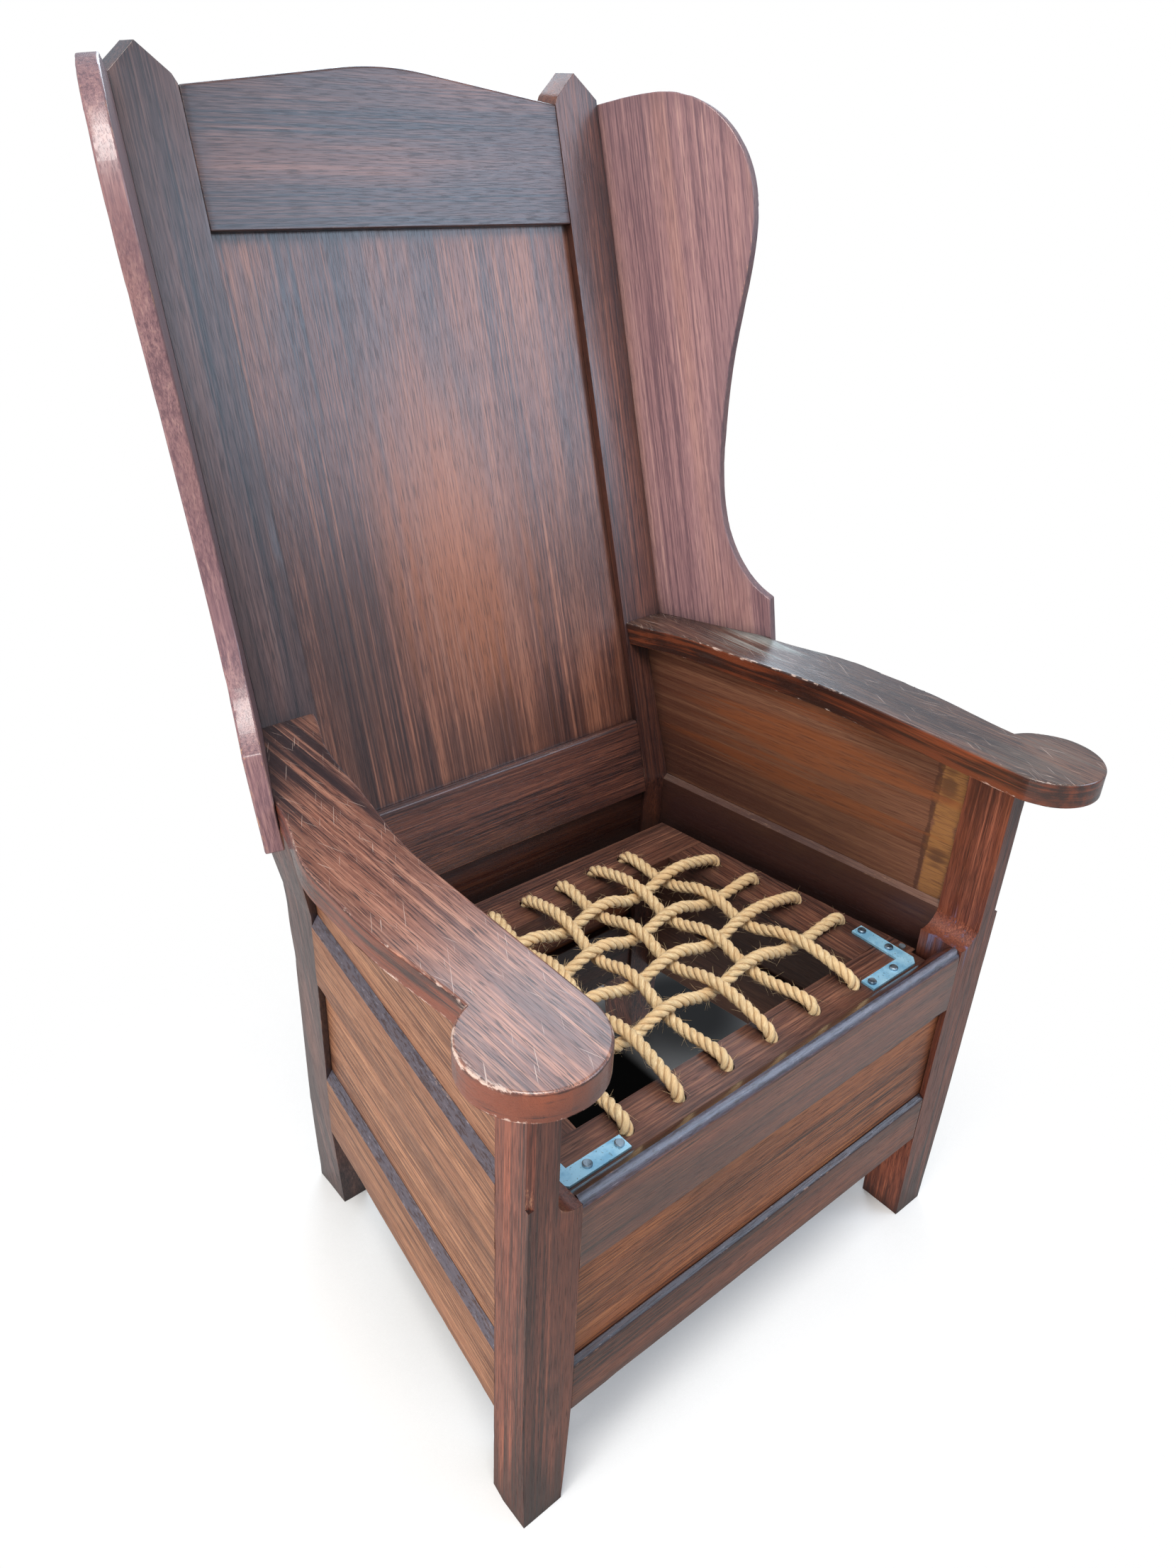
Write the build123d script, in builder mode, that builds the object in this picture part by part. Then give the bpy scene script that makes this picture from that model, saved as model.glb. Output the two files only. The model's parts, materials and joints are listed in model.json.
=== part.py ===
from build123d import *
from math import atan, cos, hypot, pi, radians, tan
import os

os.makedirs("parts", exist_ok=True)

# A lambing chair: a panelled box base, a raked panelled back, flared wings,
# flat arms with round ends, and a rope-strung seat frame that lifts out.
# Depths run back from the fronts of the front posts, heights up from the floor.
# The model stands on the floor, centred on the box that holds it.

# The chair as a whole
front_width = 618.0               # over the outer faces of the front posts
side_splay_share = 0.126          # how far a side comes in for each length of depth
back_lean_share = 0.292           # how far the back leans for each length of height
chair_height = 1168.0             # to the tips of the back posts
arm_top_height = 616.0
leg_front_depth = 424.5           # depth of the back legs' front faces
kink_height = 425.4               # where the back posts start to lean
fit_gap = 0.15                    # gap between a tongue or tenon and its socket
overrun_length = 30.0             # how far a cut runs past the piece
tongue_length = 7.0               # how far a panel enters its groove
tenon_length = 24.0
tenon_shoulder = 10.0             # rail left above and below a tenon
worn_edge_radius = 2.5            # rounding of handled edges
crisp_edge_width = 1.0            # bevel of the other edges

# Front posts
post_width = 54.2
post_neck_width = 28.9            # above the seat
post_depth = 50.3
post_taper_height = 140.0
post_taper_out_width = 4.0        # how far the foot comes in on its outer side
post_taper_in_width = 6.0
shoulder_top_height = 420.0
shoulder_bottom_height = 403.0
post_chamfer_width = 6.5
post_chamfer_start_height = 432.0
post_tenon_height = 14.0
post_tenon_margin = 6.0

# Back posts, each one piece from foot to tip
stile_inner_width = 202.0
stile_outer_width = 259.5
stile_straight_height = 500.0
stile_straight_thickness = 70.3
stile_tip_depth = 30.0
leg_inner_foot_width = 215.0
leg_outer_foot_width = 247.0
leg_outer_front_width = 255.0
leg_outer_back_width = 249.0
leg_foot_thickness = 55.5         # from front to back
leg_low_thickness = 60.5
leg_kink_thickness = 70.5
leg_taper_height = 125.0
leg_sweep_height = 330.0
tip_peak_width = 232.0            # where the gabled tip is highest
tip_outer_drop = 23.0
tip_inner_drop = 22.0
tip_nick_width = 4.0              # small corner against the crest rail

# Base rails and panels
front_rail_thickness = 27.6
front_panel_inset = 7.0
panel_thickness = 8.0
seat_rail_bottom_height = 326.0
seat_rail_nose_height = 400.0     # where the bullnose starts
seat_rail_crown_height = 405.0
seat_rail_crown_depth = 9.0
seat_rail_round_share = 0.62      # of the fall behind the crown, at its middle
seat_rail_back_height = 384.0
front_rail_bottom_height = 134.0
front_bevel_low_height = 196.0
front_bevel_top_height = 200.5
side_thickness = 22.0
side_panel_inset = 8.0
mid_rail_bottom_height = 338.0
mid_bevel_low_height = 413.0
mid_bevel_top_height = 425.0
mid_rail_bead_drop = 5.5          # drop of the inner edge's bevel
low_rail_bottom_height = 124.0
low_bevel_low_height = 203.0
low_bevel_top_height = 215.0
base_back_inset = 3.5             # behind the back legs' front faces
base_back_thickness = 24.0

# The raked back
back_rail_bottom_height = 414.0
back_rail_top_height = 501.6
back_rail_bead_width = 3.0
crest_rail_depth = 138.0          # from the tips down to its lower edge
crest_end_drop = 29.0             # below the tips, where it meets the posts
crest_peak_drop = 3.0             # below the tips, at its middle
crest_round_share = 0.22          # of the half width, that the peak's curve takes
back_rail_thickness = 24.0
back_panel_inset = 9.0
back_panel_thickness = 9.0

# Arms
arm_thickness = 25.0
arm_inner_width = 261.5           # half the clear width between the arms
arm_length = 487.0                # from the round end's centre to the back posts
arm_ball_radius = 53.0
arm_ball_depth = -7.0             # the round end's centre stands just ahead of the posts
arm_notch_angle = 69.0            # round from the side, where the round end meets the notch
arm_swell_width = 343.0           # half the width over the arms at their widest swell
arm_tenon_width = 30.0
arm_tenon_height = 10.0

# Wings
wing_thickness = 17.0
wing_flare_share = 0.417          # how far a wing spreads for each length forward
wing_reach_length = 143.0         # along the wing, from the back post to its front edge
wing_top_drop = 31.3              # below the tips of the back posts
wing_drop = 43.0                  # below the top of the arm
wing_lap_width = 26.0             # bevelled overlap on the back post's outer face

# Seat frame and what holds it
frame_top_height = 372.0
frame_thickness = 22.0
frame_front_clearance = 3.4       # to the seat rail
frame_front_width = 53.0
frame_back_width = 62.0
frame_back_clearance = 25.0       # to the base's back rail
frame_side_inset = 42.4           # of its sides, from the faces of the base
opening_front_width = 190.0       # half widths of the opening
opening_back_width = 168.0
frame_clearance = 3.0             # to the posts
frame_tenon_height = 8.0
frame_tenon_width = 24.0
frame_tenon_inset = 8.0
frame_tenon_length = 22.0
cleat_height = 20.0
cleat_bearing_width = 15.0
side_cleat_bearing_width = 7.0
cleat_end_gap = 0.3

# Rope and its holes
rope_diameter = 13.5
rope_hole_clearance = 0.4
rope_front_inset = 28.0           # the holes' distance from the opening's edge
rope_back_inset = 29.0
rope_side_back_inset = 32.5
rope_side_front_inset = 47.5
rope_front_shares = [0.163, 0.495, 0.826] # of the opening's half width
rope_back_shares = [0.143, 0.4345, 0.72]
rope_side_shares = [0.84, 0.63, 0.416, 0.202] # of the opening's length, from the front
rope_bend_height = 20.0           # of the route's corner over a hole
rope_weave_height = 10.5          # mean height of the strings over the frame
rope_run_share = 0.45             # share of the shorter run that an arc may take
knot_radius = 9.2
knot_height = 22.0
knot_round_radius = 5.0

# Steel corner brackets and screws
bracket_leg_length = 76.0
bracket_width = 16.5
bracket_thickness = 2.5
bracket_corner_width = 243.0      # outer corner
bracket_depth = 38.0
bracket_clip_length = 7.0
bracket_hole_depths = [33.0, 69.0]
bracket_screw_head_radius = 4.6   # radius
bracket_screw_head_height = 3.0
bracket_screw_shank_radius = 2.2  # radius
bracket_screw_length = 13.0
small_screw_width = 251.0
small_screw_depth = 65.0
small_screw_head_radius = 3.6
small_screw_head_height = 1.6
small_screw_shank_radius = 1.8
small_screw_length = 12.0
cleat_screw_head_radius = 3.6
cleat_screw_head_height = 2.4
cleat_screw_shank_radius = 2.0
cleat_screw_bite_length = 5.0     # how far a cleat's screw enters its rail
cleat_screw_rise_height = 14.5    # above the cleat's underside

half_front = front_width / 2
front_half = half_front - post_width
crest_bottom = chair_height - crest_rail_depth
crest_end_height = chair_height - crest_end_drop
crest_peak_height = chair_height - crest_peak_drop
along_side = hypot(1, side_splay_share)
lean = atan(back_lean_share)
arm_under = arm_top_height - arm_thickness
frame_bottom = frame_top_height - frame_thickness
rope_radius = rope_diameter / 2
rope_hole_radius = rope_radius + rope_hole_clearance
base_back_depth = leg_front_depth + base_back_inset
frame_front_depth = front_rail_thickness + frame_front_clearance
frame_back_depth = base_back_depth - frame_back_clearance
frame_outer_width = half_front - frame_side_inset    # carried forward to the post fronts
opening_front_depth = frame_front_depth + frame_front_width
opening_back_depth = frame_back_depth - frame_back_width
opening_length = opening_back_depth - opening_front_depth
rope_front_depth = opening_front_depth - rope_front_inset
rope_back_depth = opening_back_depth + rope_back_inset
rope_front_across = [share * opening_front_width for share in rope_front_shares]
rope_back_across = [share * opening_back_width for share in rope_back_shares]
rope_side_depths = [opening_front_depth + share * opening_length for share in rope_side_shares]


def leaning_depth(height):
    # depth of the back posts' front faces at a height above the kink
    return leg_front_depth + back_lean_share * (height - kink_height)


# the box that holds the chair runs from the round arm ends to the posts' tips
front_edge = arm_ball_depth - arm_ball_radius
rear_edge = leaning_depth(chair_height) + stile_tip_depth
front_y = -(front_edge + rear_edge) / 2


def level(height):
    # horizontal plane: local x across, local y back from the post fronts
    return Plane(origin=(0, front_y, height))


def upright(across):
    # plane square to the width: local x back, local y up
    return Plane(origin=(across, front_y, 0), x_dir=(0, 1, 0), z_dir=(1, 0, 0))


def facing(depth):
    # plane square to the depth, facing the front: local x across, local y up
    return Plane(origin=(0, front_y + depth, 0), x_dir=(1, 0, 0), z_dir=(0, -1, 0))


def side_face(sign, inset=0.0):
    # the splayed side, moved in by an inset: local x back along it, local y up
    outer = Plane(
        origin=(sign * half_front, front_y, 0),
        x_dir=(-sign * side_splay_share, 1, 0),
        z_dir=(1, sign * side_splay_share, 0),
    )
    return outer.offset(-sign * inset)


def across_side(sign):
    # plane square to a side's length at its front: local x in from the outer face, local y up
    return Plane(
        origin=(sign * half_front, front_y, 0),
        x_dir=(-sign, -side_splay_share, 0),
        z_dir=(-side_splay_share, sign, 0),
    )


def back_face(inset=0.0):
    # the raked front of the back: local x across, local y up along it from the kink
    front = Plane(
        origin=(0, front_y + leg_front_depth, kink_height),
        x_dir=(1, 0, 0),
        z_dir=(0, -1, back_lean_share),
    )
    return front.offset(-inset)


def wing_face(sign, inset=0.0):
    # a wing's inner face: local x forward, local y up along the back post
    inner = Plane(
        origin=(sign * stile_outer_width, front_y + leaning_depth(arm_top_height), arm_top_height),
        x_dir=(sign * wing_flare_share, -1, 0),
        z_dir=(-1, -sign * wing_flare_share, sign * wing_flare_share * back_lean_share),
    )
    return inner.offset(sign * inset)


def up_back(height):
    # distance up the raked back to a height
    return (height - kink_height) / cos(lean)


def board(plane, outline, amount, mode=Mode.ADD):
    # straight-edged outline on a plane, extruded along the plane's normal
    with BuildSketch(plane) as face:
        with BuildLine():
            Polyline(*outline, close=True)
        make_face()
    extrude(face.sketch, amount=amount, mode=mode)


def slab(plane, low, high, amount, mode=Mode.ADD):
    # rectangle between two opposite corners, extruded along the plane's normal
    board(plane, [low, (high[0], low[1]), high, (low[0], high[1])], amount, mode)


def between_posts(sign, gap=0.0):
    # keeps what lies between a front post and the back leg behind it
    slab(
        level(0),
        (0, post_depth + gap),
        (sign * front_width, leg_front_depth - gap),
        chair_height,
        Mode.INTERSECT,
    )


def side_depth(depth):
    # distance back along a splayed side to a depth
    return depth * along_side


def save(builder, name):
    builder.part.label = name
    export_step(builder.part, f"parts/{name}.step")


sides = {"left": -1, "right": 1}


# Tongues and tenons: each is made once on its own piece and once more, a little
# larger, where it is let into its neighbour

def front_tenon(sign, low, high, gap=0.0, mode=Mode.ADD):
    inner = half_front - post_width
    margin = front_rail_thickness / 4
    slab(
        upright(sign * (inner - gap)),
        (margin - gap, low + tenon_shoulder - gap),
        (front_rail_thickness / 2 + gap, high - tenon_shoulder + gap),
        sign * (tenon_length + 2 * gap),
        mode,
    )


def side_tenon(sign, end, way, low, high, gap=0.0, mode=Mode.ADD):
    # way is -1 at a rail's front end and 1 at its rear end; the root lies in the rail
    thickness = side_thickness / 2
    slab(
        side_face(sign, side_thickness / 4 - gap),
        (side_depth(end - way * tenon_shoulder), low + tenon_shoulder - gap),
        (side_depth(end + way * (tenon_length + gap)), high - tenon_shoulder + gap),
        -sign * (thickness + 2 * gap),
        mode,
    )


def front_panel_shape(gap=0.0, mode=Mode.ADD):
    half = half_front - post_width + tongue_length + gap
    slab(
        facing(front_panel_inset - gap),
        (-half, front_bevel_top_height - tongue_length - gap),
        (half, seat_rail_bottom_height + tongue_length + gap),
        -(panel_thickness + 2 * gap),
        mode,
    )


def side_low_panel_shape(sign, gap=0.0, mode=Mode.ADD):
    slab(
        side_face(sign, side_panel_inset - gap),
        (side_depth(post_depth - tongue_length - gap), low_bevel_top_height - tongue_length - gap),
        (side_depth(leg_front_depth + tongue_length + gap), mid_rail_bottom_height + tongue_length + gap),
        -sign * (panel_thickness + 2 * gap),
        mode,
    )


def side_up_panel_shape(sign, gap=0.0, mode=Mode.ADD):
    low = mid_bevel_top_height - tongue_length - gap
    high = arm_under + tongue_length + gap
    reach = tongue_length + gap
    outline = [
        (side_depth(post_depth - reach), low),
        (side_depth(leaning_depth(mid_bevel_top_height) + reach), low),
        (side_depth(leaning_depth(arm_under) + reach), arm_under),
        (side_depth(leaning_depth(arm_under) + reach), high),
        (side_depth(post_depth - reach), high),
    ]
    board(
        side_face(sign, side_panel_inset - gap),
        outline,
        -sign * (panel_thickness + 2 * gap),
        mode,
    )


def back_panel_shape(gap=0.0, mode=Mode.ADD):
    half = stile_inner_width + tongue_length + gap
    slab(
        back_face(back_panel_inset - gap),
        (-half, up_back(back_rail_top_height) - tongue_length - gap),
        (half, up_back(crest_bottom) + tongue_length + gap),
        -(back_panel_thickness + 2 * gap),
        mode,
    )


def back_tenon(sign, low, high, gap=0.0, mode=Mode.ADD):
    slab(
        back_face(back_rail_thickness / 3 - gap),
        (sign * (stile_inner_width - gap), up_back(low) + tenon_shoulder - gap),
        (sign * (stile_inner_width + tenon_length + gap), up_back(high) - tenon_shoulder + gap),
        -(back_rail_thickness / 3 + 2 * gap),
        mode,
    )


def base_back_tenon(sign, low, high, gap=0.0, mode=Mode.ADD):
    slab(
        facing(base_back_depth + base_back_thickness / 3 - gap),
        (sign * (stile_inner_width - gap), low + tenon_shoulder - gap),
        (sign * (stile_inner_width + tenon_length + gap), high - tenon_shoulder + gap),
        -(base_back_thickness / 3 + 2 * gap),
        mode,
    )


def base_back_panel_shape(gap=0.0, mode=Mode.ADD):
    half = stile_inner_width + tongue_length + gap
    slab(
        facing(base_back_depth + base_back_thickness / 3 - gap),
        (-half, low_bevel_top_height - tongue_length - gap),
        (half, mid_rail_bottom_height + tongue_length + gap),
        -(panel_thickness + 2 * gap),
        mode,
    )


def arm_tenon(sign, gap=0.0, mode=Mode.ADD):
    middle = (stile_inner_width + stile_outer_width) / 2
    centre = arm_top_height - arm_thickness / 2
    start = leaning_depth(arm_under) - tongue_length
    stop = leaning_depth(arm_top_height) + tenon_length + gap
    slab(
        level(centre - arm_tenon_height / 2 - gap),
        (sign * (middle - arm_tenon_width / 2 - gap), start),
        (sign * (middle + arm_tenon_width / 2 + gap), stop),
        arm_tenon_height + 2 * gap,
        mode,
    )


def post_tenon(sign, gap=0.0, mode=Mode.ADD):
    neck_inner = half_front - post_neck_width
    slab(
        level(arm_under - gap),
        (sign * (neck_inner + post_tenon_margin - gap), post_tenon_margin - gap),
        (
            sign * (half_front - 2 * post_tenon_margin + gap),
            post_depth - 2 * post_tenon_margin + gap,
        ),
        post_tenon_height + 2 * gap,
        mode,
    )


# Seat frame outline, and the screws that hold its cleats to the base rails
cleat_bottom = frame_bottom - cleat_height


def frame_edge(depth):
    # half width of the frame's outer edge at a depth
    return frame_outer_width - side_splay_share * depth


def opening_edge(depth):
    # half width of the frame's opening at a depth
    run = (depth - opening_front_depth) / opening_length
    return opening_front_width + (opening_back_width - opening_front_width) * run


side_cleat_inset = (half_front - frame_outer_width + side_cleat_bearing_width) / along_side


def screw(plane, places, head, head_height, shank, length):
    # round-headed screws: the head stands on the plane, the shank goes the other way
    for place in places:
        with BuildSketch(plane) as crown:
            with Locations(place):
                Circle(head)
        extrude(crown.sketch, amount=head_height)
        with BuildSketch(plane) as stem:
            with Locations(place):
                Circle(shank)
        extrude(stem.sketch, amount=-length)


def screw_hole(plane, places, radius, length):
    # clearance holes on the screws' own places
    for place in places:
        with BuildSketch(plane) as mouth:
            with Locations(place):
                Circle(radius + fit_gap)
        extrude(mouth.sketch, amount=-length, mode=Mode.SUBTRACT)


cross_cleat_shares = [-0.7, 0.0, 0.7]
side_cleat_shares = [0.1, 0.55, 0.9]
screw_height = cleat_bottom + cleat_screw_rise_height
front_cleat_width = frame_front_depth + cleat_bearing_width - front_rail_thickness
back_cleat_width = base_back_depth - frame_back_depth + cleat_bearing_width
side_cleat_width = side_cleat_inset - side_thickness
# each row of screws: the plane that its heads stand on, its places, the cleat's width
front_row = (
    -facing(frame_front_depth + cleat_bearing_width),
    [(share * front_half, -screw_height) for share in cross_cleat_shares],
    front_cleat_width,
)
back_row = (
    facing(frame_back_depth - cleat_bearing_width),
    [(share * stile_inner_width, screw_height) for share in cross_cleat_shares],
    back_cleat_width,
)
side_rows = {}
for side, sign in sides.items():
    run = leg_front_depth - post_depth
    places = [(side_depth(post_depth + share * run), -sign * screw_height) for share in side_cleat_shares]
    face = side_face(sign, side_cleat_inset)
    side_rows[side] = (-face if sign > 0 else face, places, side_cleat_width)


def row_holes(row):
    plane, places, width = row
    screw_hole(plane, places, cleat_screw_shank_radius, width + cleat_screw_bite_length + fit_gap)


# lower and upper edges of the sides' two rails, for their tenons
low_rail_edges = (low_rail_bottom_height, low_bevel_low_height)
mid_rail_edges = (mid_rail_bottom_height, mid_bevel_low_height)


# Front posts: wide below the seat, coved in to a narrow neck under the arm
for side, sign in sides.items():
    with BuildPart() as front_post:
        wide_inner = half_front - post_width
        neck_inner = half_front - post_neck_width
        cove_share = 1 - cos(radians(45))
        shoulder_rise = shoulder_top_height - shoulder_bottom_height
        with BuildSketch(facing(0)):
            with BuildLine():
                Polyline(
                    (sign * wide_inner, shoulder_bottom_height),
                    (sign * wide_inner, post_taper_height),
                    (sign * (wide_inner + post_taper_in_width), 0),
                    (sign * (half_front - post_taper_out_width), 0),
                    (sign * half_front, post_taper_height),
                    (sign * half_front, arm_under),
                    (sign * neck_inner, arm_under),
                    (sign * neck_inner, shoulder_top_height),
                )
                ThreePointArc(
                    (sign * neck_inner, shoulder_top_height),
                    (
                        sign * (neck_inner - cove_share * (neck_inner - wide_inner)),
                        shoulder_bottom_height + cove_share * shoulder_rise,
                    ),
                    (sign * wide_inner, shoulder_bottom_height),
                )
            make_face()
        extrude(amount=-post_depth)
        # the outer face follows the splayed side
        slab(
            side_face(sign),
            (-overrun_length, -overrun_length),
            (side_depth(post_depth) + overrun_length, chair_height),
            sign * overrun_length,
            Mode.SUBTRACT,
        )
        board(
            level(post_chamfer_start_height),
            [
                (sign * (half_front - post_chamfer_width), -crisp_edge_width),
                (sign * (half_front + crisp_edge_width), -crisp_edge_width),
                (sign * (half_front + crisp_edge_width), post_chamfer_width),
            ],
            arm_under,
            Mode.SUBTRACT,
        )
        front_tenon(sign, front_rail_bottom_height, front_bevel_low_height, fit_gap, Mode.SUBTRACT)
        front_tenon(sign, seat_rail_bottom_height, seat_rail_back_height, fit_gap, Mode.SUBTRACT)
        front_panel_shape(fit_gap, Mode.SUBTRACT)
        side_tenon(sign, post_depth, -1, *low_rail_edges, fit_gap, Mode.SUBTRACT)
        side_tenon(sign, post_depth, -1, *mid_rail_edges, fit_gap, Mode.SUBTRACT)
        side_low_panel_shape(sign, fit_gap, Mode.SUBTRACT)
        side_up_panel_shape(sign, fit_gap, Mode.SUBTRACT)
        post_tenon(sign)
    save(front_post, f"front_post_{side}")


# Back posts: upright leg, then leaning back and thinning to a gabled tip
leg_widths = (stile_inner_width, leg_outer_front_width, leg_outer_back_width)
foot_widths = (leg_inner_foot_width, leg_outer_foot_width, leg_outer_foot_width)
leg_sections = [
    # height, inner, outer at the front, outer at the back, front depth, back depth
    (0, *foot_widths, leg_front_depth, leg_front_depth + leg_foot_thickness),
    (leg_taper_height, *leg_widths, leg_front_depth, leg_front_depth + leg_low_thickness),
    (leg_sweep_height, *leg_widths, leg_front_depth, leg_front_depth + leg_low_thickness),
    (kink_height, *leg_widths, leg_front_depth, leg_front_depth + leg_kink_thickness),
    (
        stile_straight_height, stile_inner_width, stile_outer_width, stile_outer_width,
        leaning_depth(stile_straight_height),
        leaning_depth(stile_straight_height) + stile_straight_thickness,
    ),
    (
        chair_height, stile_inner_width, stile_outer_width, stile_outer_width,
        leaning_depth(chair_height), rear_edge,
    ),
]

for side, sign in sides.items():
    with BuildPart() as back_post:
        for low, high in zip(leg_sections, leg_sections[1:]):
            sections = []
            for height, inner, outer_front, outer_back, front, back in (low, high):
                with BuildSketch(level(height), mode=Mode.PRIVATE) as section:
                    with BuildLine():
                        Polyline(
                            (sign * inner, front),
                            (sign * outer_front, front),
                            (sign * outer_back, back),
                            (sign * inner, back),
                            close=True,
                        )
                    make_face()
                sections.append(section.sketch)
            loft(sections, ruled=True)
        tip_outline = [
            (sign * (stile_inner_width - overrun_length), chair_height - crest_end_drop),
            (sign * stile_inner_width, chair_height - crest_end_drop),
            (sign * (stile_inner_width + tip_nick_width), chair_height - tip_inner_drop),
            (sign * tip_peak_width, chair_height),
            (sign * stile_outer_width, chair_height - tip_outer_drop),
            (sign * (stile_outer_width + overrun_length), chair_height - tip_outer_drop),
            (sign * (stile_outer_width + overrun_length), chair_height + overrun_length),
            (sign * (stile_inner_width - overrun_length), chair_height + overrun_length),
        ]
        board(facing(rear_edge + overrun_length), tip_outline, rear_edge, Mode.SUBTRACT)
        side_tenon(sign, leg_front_depth, 1, *low_rail_edges, fit_gap, Mode.SUBTRACT)
        side_tenon(sign, leg_front_depth, 1, *mid_rail_edges, fit_gap, Mode.SUBTRACT)
        side_low_panel_shape(sign, fit_gap, Mode.SUBTRACT)
        side_up_panel_shape(sign, fit_gap, Mode.SUBTRACT)
        base_back_tenon(sign, low_rail_bottom_height, low_bevel_top_height, fit_gap, Mode.SUBTRACT)
        base_back_tenon(sign, mid_rail_bottom_height, back_rail_bottom_height, fit_gap, Mode.SUBTRACT)
        base_back_panel_shape(fit_gap, Mode.SUBTRACT)
        back_tenon(sign, back_rail_bottom_height, back_rail_top_height, fit_gap, Mode.SUBTRACT)
        back_tenon(sign, crest_bottom, crest_end_height, fit_gap, Mode.SUBTRACT)
        back_panel_shape(fit_gap, Mode.SUBTRACT)
        arm_tenon(sign, fit_gap, Mode.SUBTRACT)
    save(back_post, f"back_post_{side}")


# Front of the base: bullnosed seat rail, recessed panel, bevelled bottom rail
with BuildPart() as front_seat_rail:
    crown_rise = seat_rail_crown_height - seat_rail_back_height
    with BuildSketch(upright(-front_half)):
        with BuildLine():
            Polyline(
                (front_rail_thickness, seat_rail_back_height),
                (front_rail_thickness, seat_rail_bottom_height),
                (0, seat_rail_bottom_height),
                (0, seat_rail_nose_height - seat_rail_crown_depth / 2),
            )
            ThreePointArc(
                (0, seat_rail_nose_height - seat_rail_crown_depth / 2),
                (seat_rail_crown_depth / 4, seat_rail_nose_height),
                (seat_rail_crown_depth, seat_rail_crown_height),
            )
            ThreePointArc(
                (seat_rail_crown_depth, seat_rail_crown_height),
                (
                    (seat_rail_crown_depth + front_rail_thickness) / 2,
                    seat_rail_back_height + seat_rail_round_share * crown_rise,
                ),
                (front_rail_thickness, seat_rail_back_height),
            )
        make_face()
    extrude(amount=2 * front_half)
    for sign in sides.values():
        front_tenon(sign, seat_rail_bottom_height, seat_rail_back_height)
    front_panel_shape(fit_gap, Mode.SUBTRACT)
    row_holes(front_row)
save(front_seat_rail, "front_seat_rail")

with BuildPart() as front_panel:
    front_panel_shape()
save(front_panel, "front_panel")

with BuildPart() as front_bottom_rail:
    profile = [
        (0, front_rail_bottom_height),
        (0, front_bevel_low_height),
        (front_panel_inset, front_bevel_top_height),
        (front_rail_thickness, front_bevel_top_height),
        (front_rail_thickness, front_rail_bottom_height),
    ]
    board(upright(-front_half), profile, 2 * front_half)
    for sign in sides.values():
        front_tenon(sign, front_rail_bottom_height, front_bevel_low_height)
    front_panel_shape(fit_gap, Mode.SUBTRACT)
save(front_bottom_rail, "front_bottom_rail")


# Sides of the base: two bevelled rails and two panels on each splayed side
def side_rail(sign, bottom, bevel_bottom, bevel_top, inner_drop):
    # a rail between post and leg, with a bevel along its outer top edge
    stop = side_depth(leg_front_depth) + overrun_length
    slab(side_face(sign), (0, bottom), (stop, bevel_top), -sign * side_thickness)
    between_posts(sign)
    bevels = [
        [(0, bevel_bottom), (side_panel_inset, bevel_top), (0, bevel_top)],
        [
            (side_thickness, bevel_top - inner_drop),
            (side_thickness - inner_drop, bevel_top),
            (side_thickness, bevel_top),
        ],
    ]
    for bevel in bevels:
        board(across_side(sign), bevel, sign * stop, Mode.SUBTRACT)
    side_tenon(sign, post_depth, -1, bottom, bevel_bottom)
    side_tenon(sign, leg_front_depth, 1, bottom, bevel_bottom)


for side, sign in sides.items():
    with BuildPart() as side_mid_rail:
        side_rail(sign, *mid_rail_edges, mid_bevel_top_height, mid_rail_bead_drop)
        side_low_panel_shape(sign, fit_gap, Mode.SUBTRACT)
        side_up_panel_shape(sign, fit_gap, Mode.SUBTRACT)
        row_holes(side_rows[side])
    save(side_mid_rail, f"side_mid_rail_{side}")

    with BuildPart() as side_bottom_rail:
        side_rail(sign, *low_rail_edges, low_bevel_top_height, crisp_edge_width)
        side_low_panel_shape(sign, fit_gap, Mode.SUBTRACT)
    save(side_bottom_rail, f"side_bottom_rail_{side}")

    with BuildPart() as side_lower_panel:
        side_low_panel_shape(sign)
    save(side_lower_panel, f"side_lower_panel_{side}")

    with BuildPart() as side_upper_panel:
        side_up_panel_shape(sign)
    save(side_upper_panel, f"side_upper_panel_{side}")


# Back of the base: a plain rail under the raked back, a panel and a bottom rail
with BuildPart() as base_back_rail:
    rear = base_back_depth + base_back_thickness

    def under_back(depth):
        behind = depth - leaning_depth(back_rail_bottom_height)
        return back_rail_bottom_height - back_lean_share * behind - fit_gap

    profile = [
        (base_back_depth, mid_rail_bottom_height),
        (rear, mid_rail_bottom_height),
        (rear, under_back(rear)),
        (base_back_depth, under_back(base_back_depth)),
    ]
    board(upright(-stile_inner_width), profile, 2 * stile_inner_width)
    for sign in sides.values():
        base_back_tenon(sign, mid_rail_bottom_height, back_rail_bottom_height - tenon_shoulder)
    base_back_panel_shape(fit_gap, Mode.SUBTRACT)
    row_holes(back_row)
save(base_back_rail, "base_back_rail")

with BuildPart() as base_back_panel:
    base_back_panel_shape()
save(base_back_panel, "base_back_panel")

with BuildPart() as base_back_bottom_rail:
    slab(
        facing(base_back_depth),
        (-stile_inner_width, low_rail_bottom_height),
        (stile_inner_width, low_bevel_top_height),
        -base_back_thickness,
    )
    for sign in sides.values():
        base_back_tenon(sign, low_rail_bottom_height, low_bevel_top_height)
    base_back_panel_shape(fit_gap, Mode.SUBTRACT)
save(base_back_bottom_rail, "base_back_bottom_rail")


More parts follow.
